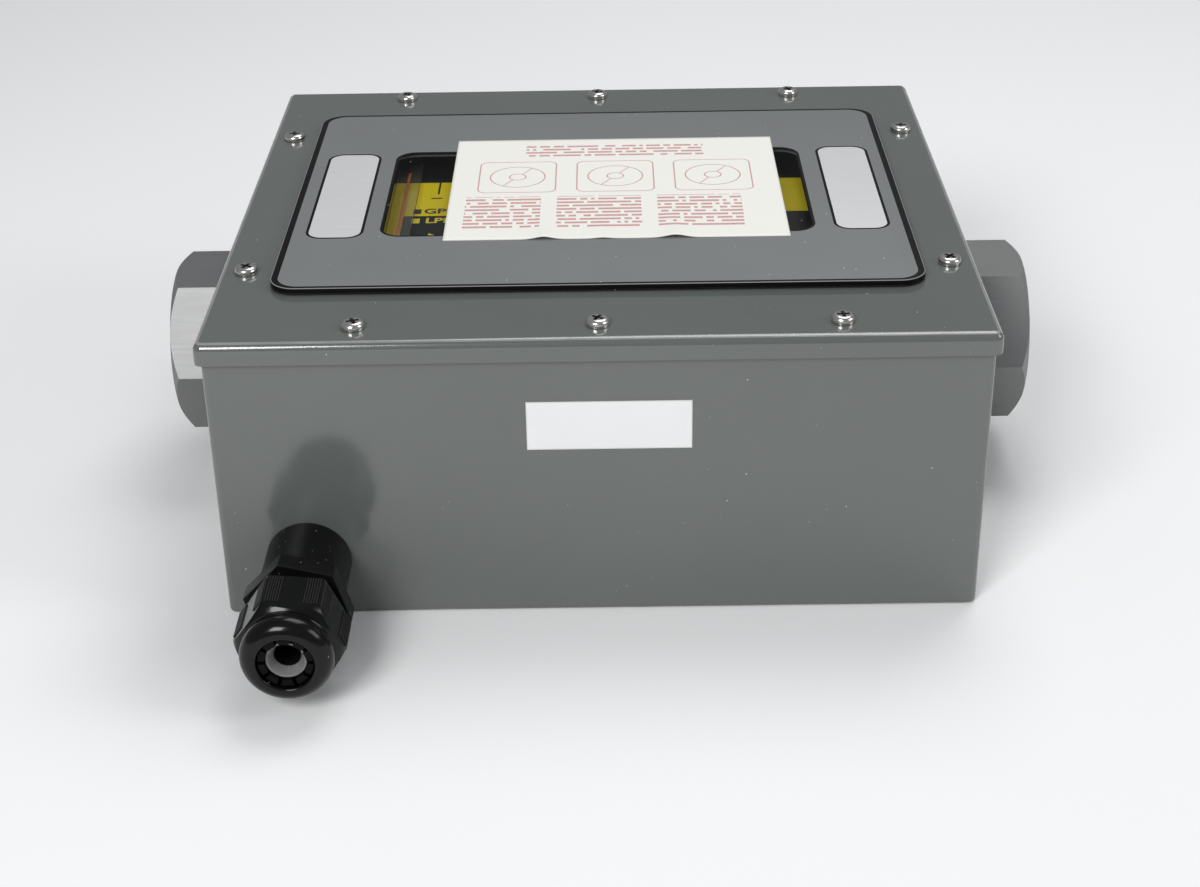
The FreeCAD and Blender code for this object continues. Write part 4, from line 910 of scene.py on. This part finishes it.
# %% Dial lettering
LETTER_LIFT = 0.04 * MM
NUMBER_SIZE, NUMBER_WEIGHT, NUMBER_SHIFT = 5.2 * MM, 0.05, -0.6 * MM
GALLONS_Y, LITRES_Y = BAND_TOP - MARK_LONG - 4.0 * MM, ROW_LOW + MARK_LONG + 4.5 * MM
LITRES_IN_GALLON = 3.785
UNIT_SIZE, UNIT_WEIGHT = 6.4 * MM, 0.028
UNIT_X, LOWER_SHIFT = -63.4 * MM, 1.0 * MM
UPPER_UNIT_Y, LOWER_UNIT_Y = BAND_LOW + 4.2 * MM, BAND_LOW - 4.6 * MM
KEY_WIDTH, KEY_HEIGHT, KEY_GAP = 2.9 * MM, 4.4 * MM, 2.4 * MM


def add_letters(work, text, size, weight, spot, turn=0.0, align="CENTER"):
    """Add a word to a bmesh, flat at a spot, turned by degrees about that spot."""
    curve = bpy.data.curves.new("word", "FONT")
    curve.body = text
    curve.size = size
    curve.align_x = align
    curve.align_y = "CENTER"
    curve.offset = weight * size
    helper = bpy.data.objects.new("word", curve)
    mesh = bpy.data.meshes.new_from_object(helper)
    mesh.transform(Matrix.Translation(spot) @ Matrix.Rotation(math.radians(turn), 4, "Z"))
    work.from_mesh(mesh)
    bpy.data.objects.remove(helper)
    bpy.data.curves.remove(curve)


def add_key(work, spot):
    """A small filled block beside a unit word, in the colour of its row of marks."""
    block = bmesh.ops.create_grid(work, x_segments=1, y_segments=1, size=0.5)["verts"]
    bmesh.ops.scale(work, vec=(KEY_WIDTH, KEY_HEIGHT, 1.0), verts=block)
    bmesh.ops.translate(work, vec=spot, verts=block)


def make_ink(name, tone):
    finish = Finish(name)
    tone = finish.blend(tone, grey(128), 0.06 * finish.noise(200.0))
    return finish.done(finish.principled(base_color=tone, roughness=0.4 + 0.1 * finish.noise(90.0)))


def make_dial_letters():
    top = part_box("scale_plate")[1].z + LETTER_LIFT
    black, yellow = bmesh.new(), bmesh.new()
    for i in range(MARK_COUNT):
        x = MARK_START + i * MARK_PITCH + NUMBER_SHIFT
        gallons = i + 1
        litres = round(gallons * LITRES_IN_GALLON)
        for work, number, y in ((black, gallons, GALLONS_Y), (yellow, litres, LITRES_Y)):
            add_letters(work, str(number), NUMBER_SIZE, NUMBER_WEIGHT, (x, y, top), turn=-90.0)
    units = ((black, "GPM", UNIT_X, UPPER_UNIT_Y), (yellow, "LPM", UNIT_X + LOWER_SHIFT, LOWER_UNIT_Y))
    for work, word, x, y in units:
        add_letters(work, word, UNIT_SIZE, UNIT_WEIGHT, (x, y, top), align="LEFT")
        add_key(work, (UNIT_X - KEY_GAP, y, top))
    dark = make_ink("dial_black", grey(20))
    bright = make_ink("dial_yellow", grey(200, (1.0, 0.84, 0.02)))
    place("dial_letters_black", black, dark, "enclosure", "scale_print")
    place("dial_letters_yellow", yellow, bright, "enclosure", "scale_print")


make_dial_letters()

# %% [markdown]
# The clear arm carries a red hairline over the dial, filled into a scribed groove on the real one. A thin
# bar with rounded edges lies on the arm and rides with the follower.

# %% Hairline
HAIRLINE_WIDTH, HAIRLINE_THICK, HAIRLINE_ROUND = 1.0 * MM, 0.12 * MM, 0.04 * MM
HAIRLINE_STOP = 15.5 * MM
HAIRLINE_TONES = grey(150, (1.0, 0.24, 0.04)), grey(162, (1.0, 0.28, 0.05))


def make_hairline():
    low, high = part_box("indicator_arm")
    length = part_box("scale_plate")[1].y - HAIRLINE_STOP - low.y
    work = bmesh.new()
    verts = bmesh.ops.create_cube(work, size=1.0)["verts"]
    bmesh.ops.scale(work, vec=(HAIRLINE_WIDTH, length, HAIRLINE_THICK), verts=verts)
    spot = (middle_of("indicator_arm").x, low.y + length / 2, high.z + HAIRLINE_THICK / 2)
    bmesh.ops.translate(work, vec=spot, verts=verts)
    round_edges(work, work.edges[:], HAIRLINE_ROUND)
    red = make_plastic("hairline_red", *HAIRLINE_TONES, 0.4, 0.1, 300.0, 0.005 * MM)
    place("red_hairline", work, red, "follower", "pointer_red")


make_hairline()

# %% [markdown]
# Moulded and machined parts have small rounded edges, and light catches them. A copy of the CAD node is
# merged into one skin, its flat faces are joined, and the hard edges get a small bevel.

# %% Softened copies
FLAT_ANGLE, HARD_ANGLE = 0.5, 30.0


def soften(node, width, material, body, slot, segments=2):
    """Put a copy of a CAD node, with its hard edges rounded, in the node's place."""
    work = bmesh.new()
    work.from_mesh(nodes[node].data)
    bmesh.ops.remove_doubles(work, verts=work.verts, dist=NEAR)
    bmesh.ops.dissolve_limit(work, angle_limit=math.radians(FLAT_ANGLE), verts=work.verts, edges=work.edges)
    round_edges(work, hard_edges(work, HARD_ANGLE), width, segments, clamp_overlap=True, loop_slide=True)
    flatten_shading(place(node + "_soft", work, material, body, slot, node, break_angle=40.0))


soften("gland_hub", 0.5 * MM, nylon, "enclosure", "black_nylon")
soften("gland_body", 0.5 * MM, nylon, "enclosure", "black_nylon")
soften("gland_claw", 0.25 * MM, claw_shaded_nylon, "enclosure", "black_nylon")
soften("inlet_port", 0.4 * MM, milled, "enclosure", "tube_aluminium")
soften("outlet_port", 0.4 * MM, milled, "enclosure", "tube_aluminium")
soften("flow_tube", 0.4 * MM, turned, "enclosure", "tube_aluminium")
soften("inlet_bracket", 0.3 * MM, zinc, "enclosure", "plated_steel")
soften("outlet_bracket", 0.3 * MM, zinc, "enclosure", "plated_steel")
soften("terminal_strip", 0.4 * MM, phenolic, "enclosure", "switch_case")
soften("follower_carriage", 0.4 * MM, acetal, "follower", "carriage_plastic")
soften("setpoint_carriage", 0.4 * MM, acetal, "setpoint", "carriage_plastic")
soften("switch_body", 0.3 * MM, phenolic, "setpoint", "switch_case")
soften("thumb_screw", 0.2 * MM, brass, "thumb_screw", "contact_brass")

# %% [markdown]
# The seal in the gland's mouth is pale rubber with a funnel that leads the cable in. No light reaches far
# down its bore, so the finish is painted dark close to the gland's axis: painted shade.

# %% Gland seal
BORE_RADIUS, BORE_RIM = 4.0 * MM, 0.3 * MM


def make_seal_rubber():
    finish = Finish("seal_rubber")
    middle = middle_of("gland_seal")
    bore = distance(finish.x - middle.x, finish.z - middle.z) < BORE_RADIUS + BORE_RIM
    fine = finish.noise(900.0)
    tone = finish.blend(grey(112), grey(136, (1.0, 1.0, 0.97)), finish.noise(80.0, 3.0))
    # Painted shade: the bore close to the gland's axis is near black.
    tone = finish.blend(tone, grey(5), bore)
    relief = finish.bump(fine, 0.03 * MM)
    return finish.done(finish.principled(base_color=tone, roughness=0.4 + 0.2 * fine, normal=relief))


seal_rubber = make_seal_rubber()
dress(seal_rubber, "gland_seal")
soften("gland_seal", 0.2 * MM, seal_rubber, "enclosure", "grey_seal", segments=3)

# %% [markdown]
# The gland's dome nut is the most sculpted piece in view. Its section is as wide as the nut's corners. The
# shoulder, the dome and the lip of the mouth are arcs in it.

# %% Nut section
NUT_FLATS, NUT_CHAMFER = 30.5 * MM, 0.4 * MM
NUT_BORE, NUT_MOUTH = 12.8 * MM, 9.0 * MM
NUT_SHOULDER, SHOULDER_DROP = 18.6 * MM, 5.0 * MM
SHOULDER_RUN, SHOULDER_RISE, SHOULDER_SWEEP = 5.0 * MM, 5.2 * MM, 62.0
STEP_OUTER, STEP_INNER, STEP_DROP = 0.6 * MM, 1.1 * MM, 0.1 * MM
DOME_RADIUS, DOME_MIDDLE, DOME_START = 4.9 * MM, 9.8 * MM, -34.0
LIP_START = 105.0
MOUTH_DEPTH, BORE_DROP = 2.0 * MM, 4.0 * MM
NUT_CORNER = NUT_FLATS / math.sqrt(3)


def nut_profile(length):
    """Half section of the dome nut, from its open end at height 0 to its mouth."""
    flat = NUT_FLATS / 2
    points = [(NUT_BORE, 0.0), (NUT_CORNER - NUT_CHAMFER, 0.0), (NUT_CORNER, NUT_CHAMFER)]
    shoulder = (NUT_CORNER - SHOULDER_RUN, NUT_SHOULDER - SHOULDER_DROP)
    points += arc(shoulder, (SHOULDER_RUN, SHOULDER_RISE), 0.0, SHOULDER_SWEEP, 6)
    points += [(flat - STEP_OUTER, NUT_SHOULDER - STEP_DROP), (flat - STEP_INNER, NUT_SHOULDER)]
    points += arc((DOME_MIDDLE, length - DOME_RADIUS), (DOME_RADIUS, DOME_RADIUS), DOME_START, 90.0, 14)
    lip = DOME_MIDDLE - NUT_MOUTH
    points += arc((DOME_MIDDLE, length - lip), (lip, lip), LIP_START, 180.0, 4)
    return points + [(NUT_MOUTH, length - MOUTH_DEPTH), (NUT_BORE, NUT_SHOULDER - BORE_DROP)]


nut_low, nut_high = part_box("gland_nut")
nut_length = nut_high.y - nut_low.y
print("nut section:", len(nut_profile(nut_length)), "points over", round(nut_length / MM, 1), "mm")

# %% [markdown]
# The spun section gets six flat cuts, which leave the true curved shoulder at the end of each flat. Fine
# grip ribs stand near the two edges of every flat, their crests narrower than their feet, and a shade paler
# than the nut: a painted highlight for the light their crests catch.

# %% Gland nut
NUT_STEPS, NUT_TURN = 96, 5.5
NUT_EDGE, NUT_EDGE_ANGLE = 0.3 * MM, 28.0
RIB_COUNT, RIB_PITCH, RIB_WIDTH, RIB_HEIGHT = 6, 0.78 * MM, 0.5 * MM, 0.4 * MM
RIB_START, RIB_END, RIB_INSET = 0.7 * MM, 14.6 * MM, 0.9 * MM
RIB_CREST = (0.45, 1.0, 0.97, 1.0)


def add_rib(work, turn, middle):
    """One rib, made on the flat that faces +Y and turned to its own flat."""
    size = Matrix.Diagonal((RIB_WIDTH, 2 * RIB_HEIGHT, RIB_END - RIB_START, 1.0))
    verts = bmesh.ops.create_cube(work, size=1.0, matrix=turn @ Matrix.Translation(middle) @ size)["verts"]
    # The rib faces take the second material, the painted highlight.
    for face in {face for vert in verts for face in vert.link_faces}:
        face.material_index = 1
    out = turn.to_3x3() @ Vector((0.0, 1.0, 0.0))
    crest = [v for v in verts if (v.co - turn @ middle).dot(out) > 0]
    centre = turn @ (middle + Vector((0.0, RIB_HEIGHT, 0.0)))
    squeeze = Matrix.Translation(centre) @ turn @ Matrix.Diagonal(RIB_CREST) @ turn.inverted()
    bmesh.ops.transform(work, matrix=squeeze @ Matrix.Translation(-centre), verts=crest)


def add_ribs(work):
    """Grip ribs near both edges of each flat."""
    for flat in range(6):
        turn = Matrix.Rotation(math.radians(60.0 * flat - NUT_TURN), 4, "Z")
        for side in (-1, 1):
            for i in range(RIB_COUNT):
                across = side * (NUT_CORNER / 2 - RIB_INSET - i * RIB_PITCH)
                add_rib(work, turn, Vector((across, NUT_FLATS / 2, (RIB_START + RIB_END) / 2)))


def cut_flats(work):
    """Take off the six sides of the spun nut and close each cut."""
    for flat in range(6):
        angle = math.radians(90.0 + 60.0 * flat - NUT_TURN)
        out = Vector((math.cos(angle), math.sin(angle), 0.0))
        everything = work.verts[:] + work.edges[:] + work.faces[:]
        cut = bmesh.ops.bisect_plane(
            work, geom=everything, dist=NEAR, plane_co=out * NUT_FLATS / 2, plane_no=out, clear_outer=True
        )
        rim = [e for e in cut["geom_cut"] if isinstance(e, bmesh.types.BMEdge)]
        bmesh.ops.edgeloop_fill(work, edges=rim)
    bmesh.ops.recalc_face_normals(work, faces=work.faces)


def make_gland_nut():
    work = bmesh.new()
    turn_profile(work, nut_profile(nut_length), NUT_STEPS)
    cut_flats(work)
    round_edges(work, hard_edges(work, NUT_EDGE_ANGLE), NUT_EDGE, clamp_overlap=True)
    add_ribs(work)
    middle = middle_of("gland_nut")
    base = Matrix.Translation((middle.x, nut_high.y, middle.z))
    outward = Matrix.Rotation(math.radians(90.0), 4, "X")
    bmesh.ops.transform(work, matrix=base @ outward, verts=work.verts)
    nut = place("dome_nut", work, gloss_nylon, "gland_nut", "black_nylon", "gland_nut", break_angle=32.0)
    nut.data.materials.append(rib_highlight_nylon)
    flatten_shading(nut)


make_gland_nut()

# %% [markdown]
# Each port has a pipe thread cut in its bore. At this scale a stack of rings looks the same as the true
# helix, so one zigzag section is spun into a sleeve that lies on the wall of the bore. The roots are painted
# darker than the crests, by their distance from the axis: painted shade that shows the thread's depth.

# %% Port threads
PORT_BORE, PORT_THREAD, PORT_PITCH = 19.05 * MM, 1.1 * MM, 2.2 * MM
PORT_DEPTH, PORT_START = 24.0 * MM, 0.8 * MM
PORT_STEPS = 72
SLEEVE_GAP, ROOT_LIFT, ROOT_SHARE = 0.02 * MM, 0.05 * MM, 0.05


def make_thread_metal():
    finish = Finish("thread_metal")
    radius = distance(finish.y, finish.z - middle_of("inlet_port").z)
    root = ((radius - (PORT_BORE - PORT_THREAD)) / PORT_THREAD).high(0.0).low(1.0)
    fine = finish.noise(600.0)
    # Painted shade: the roots are darker than the crests.
    tone = finish.blend(finish.blend(grey(164), grey(184), fine), grey(44), root)
    return finish.done(finish.principled(base_color=tone, metallic=1.0, roughness=0.35 + 0.2 * fine))


thread_metal = make_thread_metal()


def make_port_thread(node, side):
    """A sleeve in the bore of the left port, side -1, or of the right one, side 1."""
    low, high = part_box(node)
    mouth = high.x if side > 0 else low.x
    wall = PORT_BORE - SLEEVE_GAP
    root, crest = wall - ROOT_LIFT, wall - PORT_THREAD
    count = int(PORT_DEPTH / PORT_PITCH)
    points = [(wall, 0.0)]
    for i in range(count):
        points += [(root, (i + ROOT_SHARE) * PORT_PITCH), (crest, (i + 0.5) * PORT_PITCH)]
    points += [(root, count * PORT_PITCH), (wall, count * PORT_PITCH)]
    work = bmesh.new()
    turn_profile(work, points, PORT_STEPS)
    inward = Matrix.Rotation(math.radians(-90.0 * side), 4, "Y")
    start = Matrix.Translation((mouth - side * PORT_START, 0.0, middle_of(node).z))
    bmesh.ops.transform(work, matrix=start @ inward, verts=work.verts)
    place(node + "_thread", work, thread_metal, "enclosure", "tube_aluminium", break_angle=25.0)


make_port_thread("inlet_port", -1)
make_port_thread("outlet_port", 1)

# %% [markdown]
# The return spring is a round wire wound into a helix: a circle spun about the tube's axis while each step
# also moves it along. It shortens towards the outlet as the piston moves, and the share of its length that
# it keeps at full travel is printed.

# %% Return spring
WIRE_RADIUS, WIRE_SIDES = 0.8 * MM, 8
SPRING_RADIUS, SPRING_TURNS, STEPS_IN_TURN = 17.8 * MM, 9, 28
PISTON_TRAVEL = 115.0 * MM


def make_spring():
    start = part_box("piston_magnet")[1].x + WIRE_RADIUS
    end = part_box("outlet_spider")[0].x - WIRE_RADIUS
    axis_z = middle_of("flow_tube").z
    steps = SPRING_TURNS * STEPS_IN_TURN
    work = bmesh.new()
    first = Matrix.Translation((start, SPRING_RADIUS, axis_z))
    bmesh.ops.create_circle(work, segments=WIRE_SIDES, radius=WIRE_RADIUS, matrix=first)
    bmesh.ops.spin(
        work,
        geom=work.verts[:] + work.edges[:],
        cent=(0.0, 0.0, axis_z),
        axis=(1, 0, 0),
        dvec=((end - start) / steps, 0.0, 0.0),
        angle=math.tau * SPRING_TURNS,
        steps=steps,
    )
    bmesh.ops.holes_fill(work, edges=work.edges[:], sides=0)
    bmesh.ops.recalc_face_normals(work, faces=work.faces)
    spring = place(
        "coil_spring", work, spring_steel, "enclosure", "plated_steel", "return_spring", break_angle=60.0
    )
    length = end - start + 2 * WIRE_RADIUS
    keep = (length - PISTON_TRAVEL) / length
    end + WIRE_RADIUS
    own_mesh(spring)
    print("spring keeps", round(keep, 3), "of its length")


make_spring()

# %% [markdown]
# Last, both boxes are printed: the CAD model's and the dressed model's. They agree but for the card's
# curl.

# %% Sizes and finish
dressed_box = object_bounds()
sizes = {"cad": [list(corner) for corner in cad_box], "dressed": [list(corner) for corner in dressed_box]}
print(sizes)
